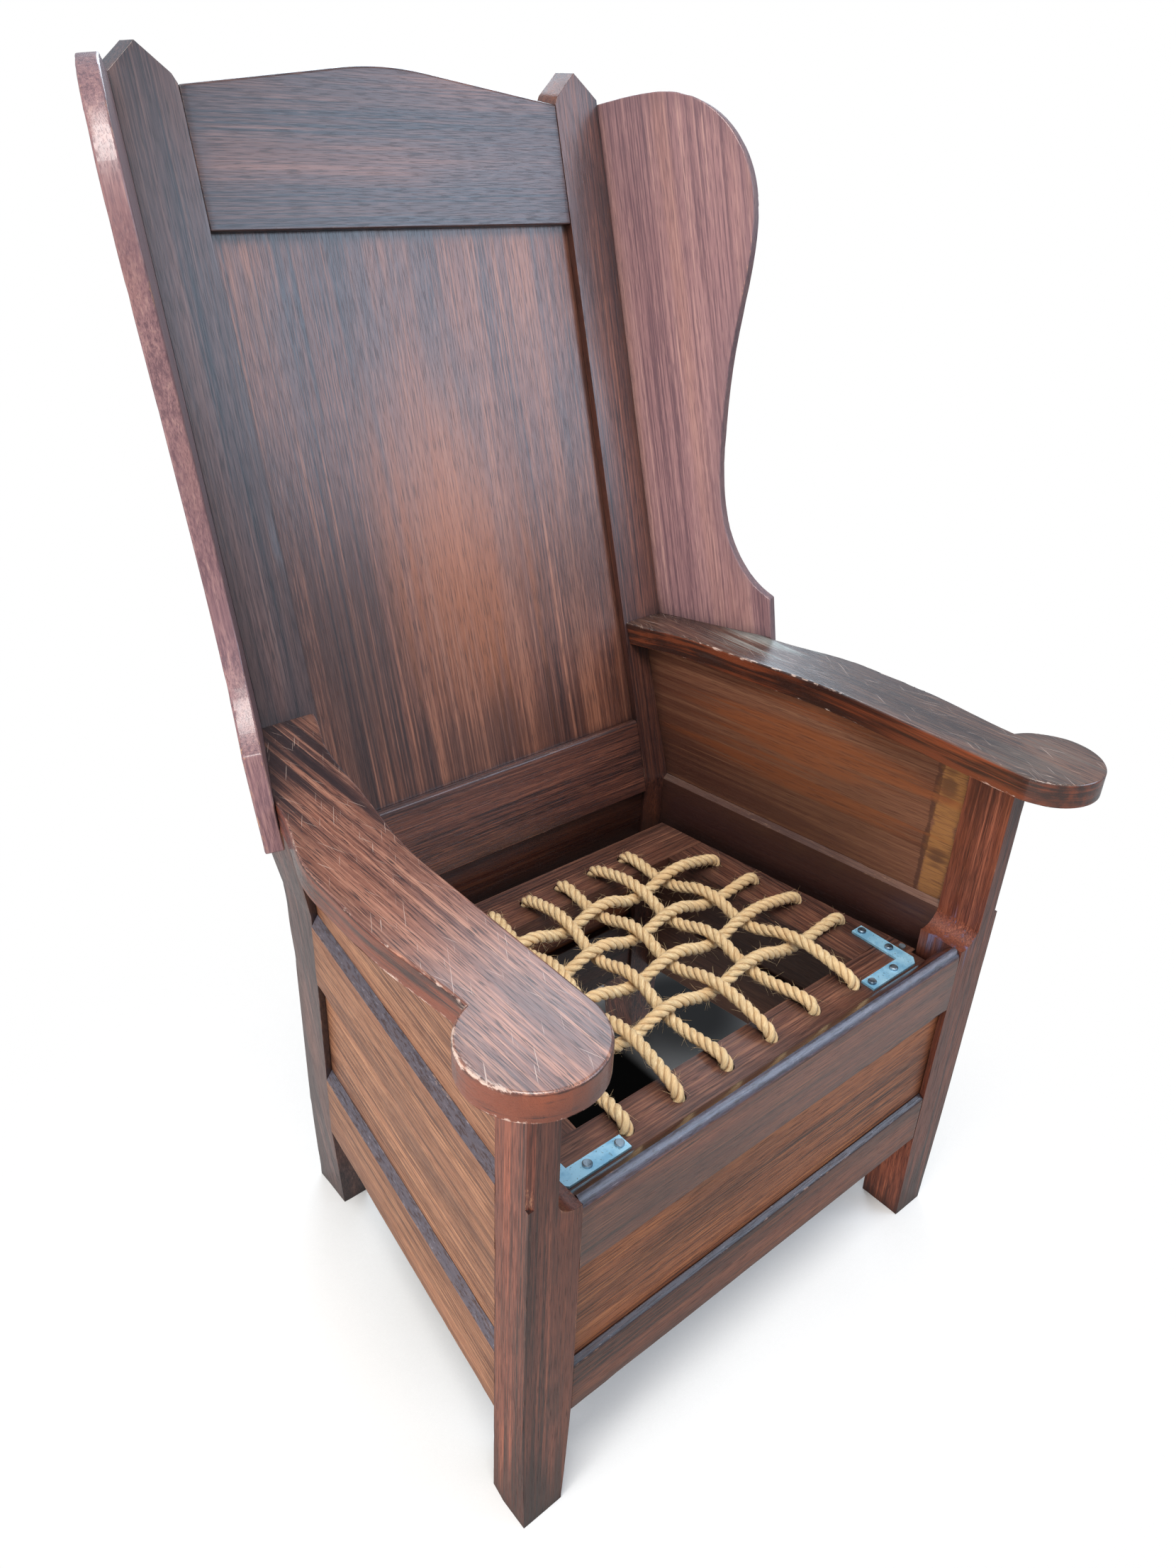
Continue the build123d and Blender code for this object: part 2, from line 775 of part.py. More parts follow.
# The raked back: crest rail, tall panel, bottom rail
with BuildPart() as back_crest_rail:
    end = up_back(crest_end_height)
    peak = up_back(crest_peak_height)
    round_half = crest_round_share * stile_inner_width
    round_end = peak - (peak - end) * crest_round_share
    with BuildSketch(back_face()):
        with BuildLine():
            Polyline(
                (-round_half, round_end),
                (-stile_inner_width, end),
                (-stile_inner_width, up_back(crest_bottom)),
                (stile_inner_width, up_back(crest_bottom)),
                (stile_inner_width, end),
                (round_half, round_end),
            )
            ThreePointArc(
                (round_half, round_end),
                (0, peak - (peak - round_end) / 2),
                (-round_half, round_end),
            )
        make_face()
    extrude(amount=-back_rail_thickness)
    # the long edges of the three faces along its top
    middle_height = (crest_bottom + crest_end_height) / 2
    top_edges = [
        edge for edge in back_crest_rail.edges()
        if edge.center().Z > middle_height and edge.length > 3 * back_rail_thickness / 2
    ]
    fillet(top_edges, worn_edge_radius)
    for sign in sides.values():
        back_tenon(sign, crest_bottom, crest_end_height)
    back_panel_shape(fit_gap, Mode.SUBTRACT)
save(back_crest_rail, "back_crest_rail")

with BuildPart() as back_panel:
    back_panel_shape()
save(back_panel, "back_panel")

with BuildPart() as back_bottom_rail:
    slab(
        back_face(),
        (-stile_inner_width, up_back(back_rail_bottom_height)),
        (stile_inner_width, up_back(back_rail_top_height)),
        -back_rail_thickness,
    )
    top_front = back_bottom_rail.edges().filter_by(Axis.X).sort_by(Axis.Z)[-1]
    chamfer(top_front, back_rail_bead_width)
    for sign in sides.values():
        back_tenon(sign, back_rail_bottom_height, back_rail_top_height)
    back_panel_shape(fit_gap, Mode.SUBTRACT)
save(back_bottom_rail, "back_bottom_rail")


# Arms: flat boards with a round end, a notch behind it and a swell before the wing
inner_edge_shares = [(0, 0.415), (0.042, 0.499), (0.16, 0.589), (0.345, 0.719), (0.563, 0.867), (0.95, 1.0)]
outer_edge_shares = [
    (0.151, 0.152), (0.057, 0.246), (0, 0.343), (0.019, 0.446),
    (0.075, 0.54), (0.245, 0.604), (0.547, 0.717),
]

for side, sign in sides.items():
    with BuildPart() as arm:
        ball_across = arm_inner_width + arm_ball_radius
        notch_angle = radians(arm_notch_angle)
        notch = (
            ball_across + arm_ball_radius * cos(notch_angle),
            arm_ball_depth + arm_ball_radius * cos(radians(90) - notch_angle),
        )
        rear = arm_ball_depth + arm_length
        narrowing = arm_inner_width - stile_inner_width
        inner_points = [
            (arm_inner_width - share * narrowing, arm_ball_depth + depth_share * arm_length)
            for share, depth_share in inner_edge_shares
        ]
        outer_points = [
            (arm_swell_width - share * arm_ball_radius, arm_ball_depth + depth_share * arm_length)
            for share, depth_share in outer_edge_shares
        ]
        with BuildSketch(level(arm_under)):
            with BuildLine():
                Line((sign * arm_inner_width, arm_ball_depth), (sign * arm_inner_width, inner_points[0][1]))
                inner_end = (sign * stile_inner_width, rear + overrun_length)
                Spline(
                    *[(sign * x, y) for x, y in inner_points],
                    inner_end,
                )
                Polyline(
                    inner_end,
                    (sign * (stile_outer_width + overrun_length), rear + overrun_length),
                    (sign * outer_points[-1][0], outer_points[-1][1]),
                )
                Spline(
                    *[(sign * x, y) for x, y in reversed(outer_points)],
                    (sign * notch[0], notch[1]),
                )
                ThreePointArc(
                    (sign * notch[0], notch[1]),
                    (sign * ball_across, arm_ball_depth - arm_ball_radius),
                    (sign * arm_inner_width, arm_ball_depth),
                )
            make_face()
        extrude(amount=arm_thickness)
        keep = Keep.TOP if sign > 0 else Keep.BOTTOM
        split(bisect_by=wing_face(sign, fit_gap), keep=keep)
        split(bisect_by=back_face().offset(fit_gap), keep=Keep.TOP)
        rim = arm.faces().sort_by(Axis.Z)[-1].edges()
        rim = rim.filter_by_position(Axis.Y, front_y + front_edge - fit_gap, front_y + outer_points[-1][1])
        fillet(rim, worn_edge_radius)
        side_up_panel_shape(sign, fit_gap, Mode.SUBTRACT)
        post_tenon(sign, fit_gap, Mode.SUBTRACT)
        arm_tenon(sign)
    save(arm, f"arm_{side}")


# Wings: sawn boards that flare out from the back posts and stand beside the arms
wing_top_shares = [(-0.993, 0.974), (-0.66, 0.995), (-0.33, 1.0), (0.02, 0.962)]
wing_front_shares = [
    (0.294, 0.866), (0.364, 0.747), (0.322, 0.564), (0.336, 0.387),
    (0.423, 0.245), (0.671, 0.129), (0.93, 0.081),
]
wing_foot_share = 1.056
wing_rise = up_back(chair_height - wing_top_drop) - up_back(arm_top_height)

for side, sign in sides.items():
    with BuildPart() as wing:
        rake = -wing_reach_length * wing_top_shares[0][0] / (wing_rise * wing_top_shares[0][1])

        def on_wing(shares):
            return (shares[0] * wing_reach_length, shares[1] * wing_rise)

        curve = [on_wing(shares) for shares in wing_top_shares + wing_front_shares]
        tip = curve[0]
        with BuildSketch(wing_face(sign)):
            with BuildLine():
                Spline(*curve)
                Polyline(
                    curve[-1],
                    (wing_foot_share * wing_reach_length, -wing_drop),
                    (-wing_lap_width + rake * wing_drop, -wing_drop),
                    (tip[0] - wing_lap_width, tip[1]),
                    tip,
                )
            make_face()
        extrude(amount=-sign * wing_thickness)
        # the rear edge is bevelled to lie on the back post's outer face
        slab(
            upright(sign * (stile_outer_width + fit_gap)),
            (0, 0),
            (rear_edge + overrun_length, chair_height + overrun_length),
            -sign * stile_outer_width,
            Mode.SUBTRACT,
        )
    save(wing, f"wing_{side}")


# Cleats inside the base carry the seat frame
with BuildPart() as seat_cleat_front:
    slab(
        level(cleat_bottom),
        (-front_half + cleat_end_gap, front_rail_thickness),
        (front_half - cleat_end_gap, frame_front_depth + cleat_bearing_width),
        cleat_height,
    )
    row_holes(front_row)
save(seat_cleat_front, "seat_cleat_front")

with BuildPart() as seat_cleat_back:
    slab(
        level(cleat_bottom),
        (-stile_inner_width + cleat_end_gap, frame_back_depth - cleat_bearing_width),
        (stile_inner_width - cleat_end_gap, base_back_depth),
        cleat_height,
    )
    row_holes(back_row)
save(seat_cleat_back, "seat_cleat_back")

for side, sign in sides.items():
    with BuildPart() as seat_cleat:
        slab(
            side_face(sign, side_thickness),
            (0, cleat_bottom),
            (side_depth(leg_front_depth) + overrun_length, frame_bottom),
            -sign * side_cleat_width,
        )
        between_posts(sign, cleat_end_gap)
        row_holes(side_rows[side])
    save(seat_cleat, f"seat_cleat_{side}")

with BuildPart() as cleat_screws:
    for plane, places, width in [front_row, back_row, *side_rows.values()]:
        screw(
            plane, places, cleat_screw_head_radius, cleat_screw_head_height,
            cleat_screw_shank_radius, width + cleat_screw_bite_length,
        )
save(cleat_screws, "cleat_screws")


# The seat frame: front and back rails run through, side rails are tenoned between
def rope_side(depth):
    # half width between the side holes at a depth
    first = rope_side_depths[0]
    run = (depth - first) / (rope_side_depths[-1] - first)
    inset = rope_side_back_inset + (rope_side_front_inset - rope_side_back_inset) * run
    return opening_edge(depth) + inset


bracket_plane = level(frame_top_height + bracket_thickness)


def bracket_places(sign):
    # the four screws of a corner bracket
    middle = bracket_width / 2
    corner = bracket_corner_width
    across = [(sign * (corner - hole), bracket_depth + middle) for hole in bracket_hole_depths]
    back = [(sign * (corner - middle), bracket_depth + hole) for hole in bracket_hole_depths]
    return across + back


def bracket_holes(places):
    # in the frame, for a bracket's screws
    screw_hole(bracket_plane, places, bracket_screw_shank_radius, bracket_screw_length + fit_gap)


def rope_holes(places):
    with Locations(*places):
        Cylinder(rope_hole_radius, 2 * frame_thickness, mode=Mode.SUBTRACT)


def frame_point(across, depth):
    return (across, front_y + depth, frame_top_height - frame_thickness / 2)


def frame_tenon(sign, depth, way, gap=0.0, mode=Mode.ADD):
    # way is -1 into the front rail and 1 into the back rail
    inner = opening_edge(depth) + frame_tenon_inset
    slab(
        level(frame_top_height - (frame_thickness + frame_tenon_height) / 2 - gap),
        (sign * (inner - gap), depth - way * frame_tenon_inset),
        (sign * (inner + frame_tenon_width + gap), depth + way * (frame_tenon_length + gap)),
        frame_tenon_height + 2 * gap,
        mode,
    )


with BuildPart() as seat_frame_front:
    notch_across = front_half - frame_clearance
    notch_depth = post_depth + frame_clearance
    outline = [
        (notch_across, frame_front_depth),
        (notch_across, notch_depth),
        (frame_edge(notch_depth), notch_depth),
        (frame_edge(opening_front_depth), opening_front_depth),
    ]
    mirrored = [(-across, depth) for across, depth in reversed(outline)]
    board(level(frame_bottom), outline + mirrored, frame_thickness)
    for sign in sides.values():
        frame_tenon(sign, opening_front_depth, -1, fit_gap, Mode.SUBTRACT)
        bracket_holes(bracket_places(sign)[:3])
        screw_hole(
            level(frame_top_height),
            [(sign * small_screw_width, small_screw_depth)],
            small_screw_shank_radius,
            small_screw_length + fit_gap,
        )
    rope_holes([
        frame_point(sign * across, rope_front_depth)
        for across in rope_front_across for sign in sides.values()
    ])
save(seat_frame_front, "seat_frame_front")

with BuildPart() as seat_frame_back:
    outline = [
        (frame_edge(opening_back_depth), opening_back_depth),
        (frame_edge(frame_back_depth), frame_back_depth),
    ]
    mirrored = [(-across, depth) for across, depth in reversed(outline)]
    board(level(frame_bottom), outline + mirrored, frame_thickness)
    for sign in sides.values():
        frame_tenon(sign, opening_back_depth, 1, fit_gap, Mode.SUBTRACT)
    rope_holes([
        frame_point(sign * across, rope_back_depth)
        for across in rope_back_across for sign in sides.values()
    ])
save(seat_frame_back, "seat_frame_back")

for side, sign in sides.items():
    with BuildPart() as seat_frame_side:
        near = opening_front_depth + fit_gap
        far = opening_back_depth - fit_gap
        outline = [
            (sign * opening_edge(near), near),
            (sign * frame_edge(near), near),
            (sign * frame_edge(far), far),
            (sign * opening_edge(far), far),
        ]
        board(level(frame_bottom), outline, frame_thickness)
        frame_tenon(sign, opening_front_depth, -1)
        frame_tenon(sign, opening_back_depth, 1)
        bracket_holes(bracket_places(sign)[3:])
        rope_holes([frame_point(sign * rope_side(depth), depth) for depth in rope_side_depths])
    save(seat_frame_side, f"seat_frame_{side}")


# Flat steel brackets on the frame's front corners, and their screws
for side, sign in sides.items():
    with BuildPart() as seat_bracket:
        corner = bracket_corner_width
        outline = [
            (sign * (corner - bracket_clip_length), bracket_depth),
            (sign * corner, bracket_depth + bracket_clip_length),
            (sign * corner, bracket_depth + bracket_leg_length),
            (sign * (corner - bracket_width), bracket_depth + bracket_leg_length),
            (sign * (corner - bracket_width), bracket_depth + bracket_width),
            (sign * (corner - bracket_leg_length), bracket_depth + bracket_width),
            (sign * (corner - bracket_leg_length), bracket_depth),
        ]
        board(level(frame_top_height), outline, bracket_thickness)
        screw_hole(bracket_plane, bracket_places(sign), bracket_screw_shank_radius, bracket_thickness)
    save(seat_bracket, f"seat_bracket_{side}")

    with BuildPart() as bracket_screws:
        screw(
            bracket_plane, bracket_places(sign), bracket_screw_head_radius,
            bracket_screw_head_height, bracket_screw_shank_radius, bracket_screw_length,
        )
        crowns = bracket_screws.faces().filter_by(Axis.Z).group_by(Axis.Z)[-1]
        chamfer(crowns.edges(), bracket_screw_head_height / 3)
    save(bracket_screws, f"bracket_screws_{side}")

with BuildPart() as frame_screws:
    screw(
        level(frame_top_height),
        [(sign * small_screw_width, small_screw_depth) for sign in sides.values()],
        small_screw_head_radius, small_screw_head_height, small_screw_shank_radius, small_screw_length,
    )
save(frame_screws, "frame_screws")


# Rope: one length laced front to back, one laced from side to side, woven together
string_top = frame_top_height + rope_bend_height
string_under = frame_bottom - rope_diameter
front_across = [-across for across in reversed(rope_front_across)] + rope_front_across
back_across = [-across for across in reversed(rope_back_across)] + rope_back_across


def string_across(index, depth):
    # where a front-to-back string lies at a depth
    run = (depth - rope_front_depth) / (rope_back_depth - rope_front_depth)
    return front_across[index] + (back_across[index] - front_across[index]) * run


def crossing_height(index, row, lengthwise):
    # strings pass over and under by turns, like a woven cane seat
    over = (index + row) % 2 == 0
    if not lengthwise:
        over = not over
    return frame_top_height + rope_weave_height + (rope_diameter if over else -rope_diameter)


def lengthwise_string(index):
    points = [(front_across[index], rope_front_depth, string_top)]
    for row in reversed(range(len(rope_side_depths))):
        depth = rope_side_depths[row]
        points.append((string_across(index, depth), depth, crossing_height(index, row, True)))
    points.append((back_across[index], rope_back_depth, string_top))
    return points


def crosswise_string(row):
    depth = rope_side_depths[row]
    reach = rope_side(depth)
    points = [(-reach, depth, string_top)]
    for index in range(len(front_across)):
        points.append((string_across(index, depth), depth, crossing_height(index, row, False)))
    points.append((reach, depth, string_top))
    return points


def laced(strings):
    # strings joined end to end by short lengths under the frame
    route = []
    for number, points in enumerate(strings):
        ordered = points if number % 2 == 0 else list(reversed(points))
        start = ordered[0]
        finish = ordered[-1]
        if number > 0:
            route.append((start[0], start[1], string_under))
        else:
            route.append((start[0], start[1], frame_bottom))
        route.extend(ordered)
        if number < len(strings) - 1:
            route.append((finish[0], finish[1], string_under))
        else:
            route.append((finish[0], finish[1], frame_bottom))
    return [Vector(x, front_y + y, z) for x, y, z in route]


def route_radii(route):
    # each arc is as large as its runs allow, and at a hole it ends at the wood
    radii = []
    for before, here, after in zip(route, route[1:], route[2:]):
        turn = radians((here - before).get_angle(after - here))
        shorter = min((here - before).length, (after - here).length)
        room = rope_run_share * shorter
        if abs(here.Z - string_top) < fit_gap or abs(here.Z - string_under) < fit_gap:
            stand_off = abs(here.Z - (frame_top_height if here.Z > frame_top_height else frame_bottom))
            room = min(shorter / 2, stand_off)
        radii.append(room / tan(turn / 2))
    return radii


def rope(name, strings):
    route = laced(strings)
    radii = route_radii(route)
    with BuildPart() as cord:
        with BuildLine() as path:
            FilletPolyline(*route, radius=radii)
        with BuildSketch(Plane(origin=path.line @ 0, z_dir=path.line % 0)) as section:
            Circle(rope_radius)
        sweep(section.sketch, path=path.wires()[0])
    length = path.wires()[0].length
    swept = pi * rope_radius**2 * length
    print(name, "length", round(length), "radii", round(min(radii), 1), "to", round(max(radii), 1))
    print(name, "volume over section times length", round(cord.part.volume / swept, 4))
    save(cord, name)
    ends = [route[0], route[-1]]
    with BuildPart() as knots:
        for end in ends:
            with Locations((end.X, end.Y, frame_bottom)):
                Cylinder(knot_radius, knot_height, align=(Align.CENTER, Align.CENTER, Align.MAX))
        fillet(knots.edges().filter_by(GeomType.CIRCLE), knot_round_radius)
    save(knots, f"{name}_knots")


rope("seat_rope_lengthwise", [lengthwise_string(index) for index in range(len(front_across))])
rope("seat_rope_crosswise", [crosswise_string(row) for row in range(len(rope_side_depths))])
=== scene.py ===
import json
import math
import random

import bmesh
import bpy
from mathutils import Matrix, Vector, noise
from mathutils.kdtree import KDTree

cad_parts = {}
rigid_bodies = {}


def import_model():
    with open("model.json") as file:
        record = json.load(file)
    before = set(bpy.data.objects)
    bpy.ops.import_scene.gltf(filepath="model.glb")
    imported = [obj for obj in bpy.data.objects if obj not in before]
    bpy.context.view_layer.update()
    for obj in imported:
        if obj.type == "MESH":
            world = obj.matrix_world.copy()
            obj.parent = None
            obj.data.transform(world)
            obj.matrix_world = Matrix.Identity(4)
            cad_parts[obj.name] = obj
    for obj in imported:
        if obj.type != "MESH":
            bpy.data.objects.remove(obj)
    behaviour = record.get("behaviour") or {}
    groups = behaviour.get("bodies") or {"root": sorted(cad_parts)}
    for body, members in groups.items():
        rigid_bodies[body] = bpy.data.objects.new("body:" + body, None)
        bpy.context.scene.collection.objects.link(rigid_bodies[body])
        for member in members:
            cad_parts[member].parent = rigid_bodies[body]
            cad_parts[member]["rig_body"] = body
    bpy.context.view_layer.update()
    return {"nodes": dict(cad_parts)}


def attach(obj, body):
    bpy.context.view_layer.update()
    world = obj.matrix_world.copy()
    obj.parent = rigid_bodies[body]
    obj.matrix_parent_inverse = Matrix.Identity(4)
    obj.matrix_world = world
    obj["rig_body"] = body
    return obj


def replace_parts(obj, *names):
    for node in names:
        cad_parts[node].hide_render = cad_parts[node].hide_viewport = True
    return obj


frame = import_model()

# A lambing chair: dark stained boards with worn edges around a rope-strung seat.
# Lengths are in metres, in the frame's own axes: x to the right, y to the back, z up.

scene = bpy.context.scene
nodes = frame["nodes"]


def paint(red, green, blue):
    # an 8-bit screen colour as the linear colour that sockets take
    linear = []
    for value in (red, green, blue):
        share = value / 255
        linear.append(share / 12.92 if share <= 0.04045 else ((share + 0.055) / 1.055) ** 2.4)
    return (*linear, 1.0)


# shader helpers

class Wire:
    # wraps an output socket, so that shader maths reads as plain expressions
    def __init__(self, shader, socket):
        self.shader = shader
        self.socket = socket

    def maths(self, operation, first, second):
        return self.shader.node("Math", {"operation": operation}, {0: first, 1: second})

    def __add__(self, other):
        return self.maths("ADD", self, other)

    def __radd__(self, other):
        return self.maths("ADD", other, self)

    def __sub__(self, other):
        return self.maths("SUBTRACT", self, other)

    def __rsub__(self, other):
        return self.maths("SUBTRACT", other, self)

    def __mul__(self, other):
        return self.maths("MULTIPLY", self, other)

    def __rmul__(self, other):
        return self.maths("MULTIPLY", other, self)


class Shader:
    # the nodes of a material or of the world
    def __init__(self, owner):
        self.owner = owner
        owner.use_nodes = True
        self.tree = owner.node_tree
        self.tree.nodes.clear()

    def node(self, kind, settings=None, inputs=None, output=0):
        made = self.tree.nodes.new("ShaderNode" + kind)
        for key, value in (settings or {}).items():
            setattr(made, key, value)
        for key, value in (inputs or {}).items():
            if isinstance(value, Wire):
                self.tree.links.new(value.socket, made.inputs[key])
            else:
                made.inputs[key].default_value = value
        return Wire(self, made.outputs[output]) if made.outputs else None

    def attribute(self, name, output="Vector"):
        return self.node("Attribute", {"attribute_name": name}, output=output)

    def vector(self, operation, inputs, output="Vector"):
        return self.node("VectorMath", {"operation": operation}, dict(enumerate(inputs)), output)

    def stretched(self, vector, stretch):
        return self.vector("MULTIPLY", (vector, stretch))

    def axis(self, vector, number):
        return self.node("SeparateXYZ", None, {0: vector}, output=number)

    def noise(self, vector, scale=1.0, detail=3.0, rough=0.55, distortion=0.0):
        sockets = {
            "Vector": vector, "Scale": scale, "Detail": detail,
            "Roughness": rough, "Distortion": distortion,
        }
        return self.node("TexNoise", {"noise_dimensions": "3D"}, sockets)

    def fade(self, value, low, high, outLow=0.0, outHigh=1.0):
        # smooth step of a value between low and high
        sockets = {"Value": value, "From Min": low, "From Max": high, "To Min": outLow, "To Max": outHigh}
        return self.node("MapRange", {"interpolation_type": "SMOOTHSTEP"}, sockets)

    def blend(self, mask, first, second):
        return self.node("Mix", {"data_type": "RGBA"}, {0: mask, 6: first, 7: second}, output=2)

    def bump(self, height, strength, distance, under=None):
        sockets = {"Height": height, "Strength": strength, "Distance": distance}
        if under:
            sockets["Normal"] = under
        return self.node("Bump", None, sockets)

    def finish(self, sockets):
        surface = self.node("BsdfPrincipled", None, sockets)
        self.node("OutputMaterial", None, {"Surface": surface})
        return self.owner


def newShader(name):
    return Shader(bpy.data.materials.new(name))


# camera

cameraLook = {
    "place": Vector((-0.6677, -0.7491, 1.1301)),
    "yaw": math.radians(41.782),      # from +y towards +x
    "pitch": math.radians(30.131),    # downwards
    "roll": math.radians(2.841),
    "lens": 35.196,                   # millimetres, on a sensor 36 wide
    "sensor": 36.0,
    "nearest": 0.02,
}


def addCamera(look):
    ahead = Vector((
        math.sin(look["yaw"]) * math.cos(look["pitch"]),
        math.cos(look["yaw"]) * math.cos(look["pitch"]),
        -math.sin(look["pitch"]),
    ))
    right = Vector((math.cos(look["yaw"]), -math.sin(look["yaw"]), 0))
    up = right.cross(ahead)
    tiltedRight = math.cos(look["roll"]) * right + math.sin(look["roll"]) * up
    tiltedUp = math.cos(look["roll"]) * up - math.sin(look["roll"]) * right
    data = bpy.data.cameras.new("camera")
    data.sensor_fit = "HORIZONTAL"
    data.sensor_width = look["sensor"]
    data.lens = look["lens"]
    data.clip_start = look["nearest"]
    data.dof.use_dof = False
    camera = bpy.data.objects.new("camera", data)
    scene.collection.objects.link(camera)
    turn = Matrix((tiltedRight, tiltedUp, -ahead)).transposed()
    camera.matrix_world = Matrix.Translation(look["place"]) @ turn.to_4x4()
    scene.camera = camera


# lamps

lampLook = {
    "left": {
        "place": (-3.0, -0.5, 0.75), "aim": (0, 0, 0.5), "size": 1.5, "watts": 125.0,
        "tint": (1.0, 0.98, 0.94), "mirrored": False,    # it would leave a hot sheen on the right wing
    },
    "front": {
        "place": (1.8, -2.2, 2.1), "aim": (0, 0.2, 0.9), "size": 1.9, "watts": 36.0,
        "tint": (0.62, 0.78, 1.0), "mirrored": True,
    },
    "behind": {
        "place": (1.7, 2.3, 2.5), "aim": (0, 0, 0.5), "size": 2.2, "watts": 60.0,
        "tint": (0.76, 0.88, 1.0), "mirrored": True,
    },
    "above": {
        "place": (-0.9, -0.9, 3.4), "aim": (0, 0, 0.5), "size": 1.6, "watts": 85.0,
        "tint": (1.0, 0.97, 0.93), "mirrored": True,
    },
}


def addLamp(name, look):
    data = bpy.data.lights.new(name, "AREA")
    data.shape = "DISK"
    data.size = look["size"]
    data.energy = look["watts"]
    data.color = look["tint"]
    lamp = bpy.data.objects.new(name, data)
    scene.collection.objects.link(lamp)
    lamp.location = look["place"]
    lamp.visible_glossy = look["mirrored"]
    towards = Vector(look["aim"]) - Vector(look["place"])
    lamp.rotation_euler = towards.to_track_quat("-Z", "Y").to_euler()


# the white room round the chair

roomLook = {
    "light": 0.4, "lightTint": (0.93, 0.96, 1.0, 1),
    "mirrored": 0.5, "mirroredTint": (0.72, 0.86, 1.0, 1),    # what glossy surfaces show
    "white": (1, 1, 1, 1),
}


def addRoom(look):
    scene.world = bpy.data.worlds.new("studio")
    shader = Shader(scene.world)

    def background(colour, strength):
        return shader.node("Background", None, {"Color": colour, "Strength": strength})

    def choose(ray, first, second):
        return shader.node("MixShader", None, {0: shader.node("LightPath", output=ray), 1: first, 2: second})

    white = background(look["white"], 1.0)
    shown = background(look["lightTint"], look["light"])
    shown = choose("Is Glossy Ray", shown, background(look["mirroredTint"], look["mirrored"]))
    shown = choose("Is Transmission Ray", shown, white)
    shown = choose("Is Camera Ray", shown, white)
    shader.node("OutputWorld", None, {"Surface": shown})


# floor: white where nothing stands near, with painted shade inside the base and a painted soft shadow on the
# right

floorLook = {
    "side": 30.0,
    "seen": (0.82, 0.82, 0.82, 1),
    "bounce": (0.34, 0.33, 0.32, 1),                  # what it sends back to the chair
    "openReach": 0.9, "openFade": (0.45, 0.85), "openSamples": 8,
    # painted shade on the ground inside the base, and a painted soft shadow to its right
    "underCentre": (0, -0.02, 0), "underHalf": (0.21, 0.20, 1.0),
    "underShadeTint": (0.003, 0.003, 0.003, 1), "underFade": (0.85, 1.0),
    "shadowCentre": (0.31, 0.12, 0), "shadowHalf": (0.17, 0.17, 1.0),
    "shadowTint": (0.035, 0.034, 0.033, 1), "shadowFade": (0.3, 2.4),
}


def makeFloorFinish(look):
    shader = newShader("paleFloor")
    seenByCamera = shader.node("LightPath", output="Is Camera Ray")
    samples = {"samples": look["openSamples"]}
    openness = shader.node("AmbientOcclusion", samples, {"Distance": look["openReach"]}, output="AO")
    spot = shader.node("TexCoord", output="Object")

    def measured(centre, half):
        # a place on the floor, in half widths from the centre of an area
        return shader.vector("DIVIDE", (shader.vector("SUBTRACT", (spot, centre)), half))

    # painted shade: the ground inside the base is made dark
    box = shader.vector("ABSOLUTE", (measured(look["underCentre"], look["underHalf"]),))
    sideways = shader.fade(shader.axis(box, 0), *look["underFade"])
    endways = shader.fade(shader.axis(box, 1), *look["underFade"])
    outside = shader.node("Math", {"operation": "MAXIMUM"}, {0: sideways, 1: endways})
    # painted soft shadow: a dark oval to the right of the base
    oval = shader.vector("LENGTH", (measured(look["shadowCentre"], look["shadowHalf"]),), "Value")
    bright = shader.fade(oval, *look["shadowFade"])
    seen = shader.blend(bright, look["shadowTint"], look["seen"])
    seen = shader.blend(outside, look["underShadeTint"], seen)
    colour = shader.blend(seenByCamera, look["bounce"], seen)
    matt = shader.node("BsdfDiffuse", None, {"Color": colour})
    white = shader.node("Emission", None, {"Color": (1, 1, 1, 1), "Strength": 1.0})
    lit = shader.fade(openness, *look["openFade"]) * outside * bright
    surface = shader.node("MixShader", None, {0: seenByCamera * lit, 1: matt, 2: white})
    shader.node("OutputMaterial", None, {"Surface": surface})
    return shader.owner


def addFloor(look):
    half = look["side"] / 2
    corners = [(-half, -half, 0), (half, -half, 0), (half, half, 0), (-half, half, 0)]
    mesh = bpy.data.meshes.new("floor")
    mesh.from_pydata(corners, [], [(0, 1, 2, 3)])
    mesh.materials.append(makeFloorFinish(look))
    floor = bpy.data.objects.new("floor", mesh)
    scene.collection.objects.link(floor)


addCamera(cameraLook)
for name, look in lampLook.items():
    addLamp(name, look)
addRoom(roomLook)
addFloor(floorLook)
scene.view_settings.view_transform = "Standard"
print("camera, lamps and floor are set")
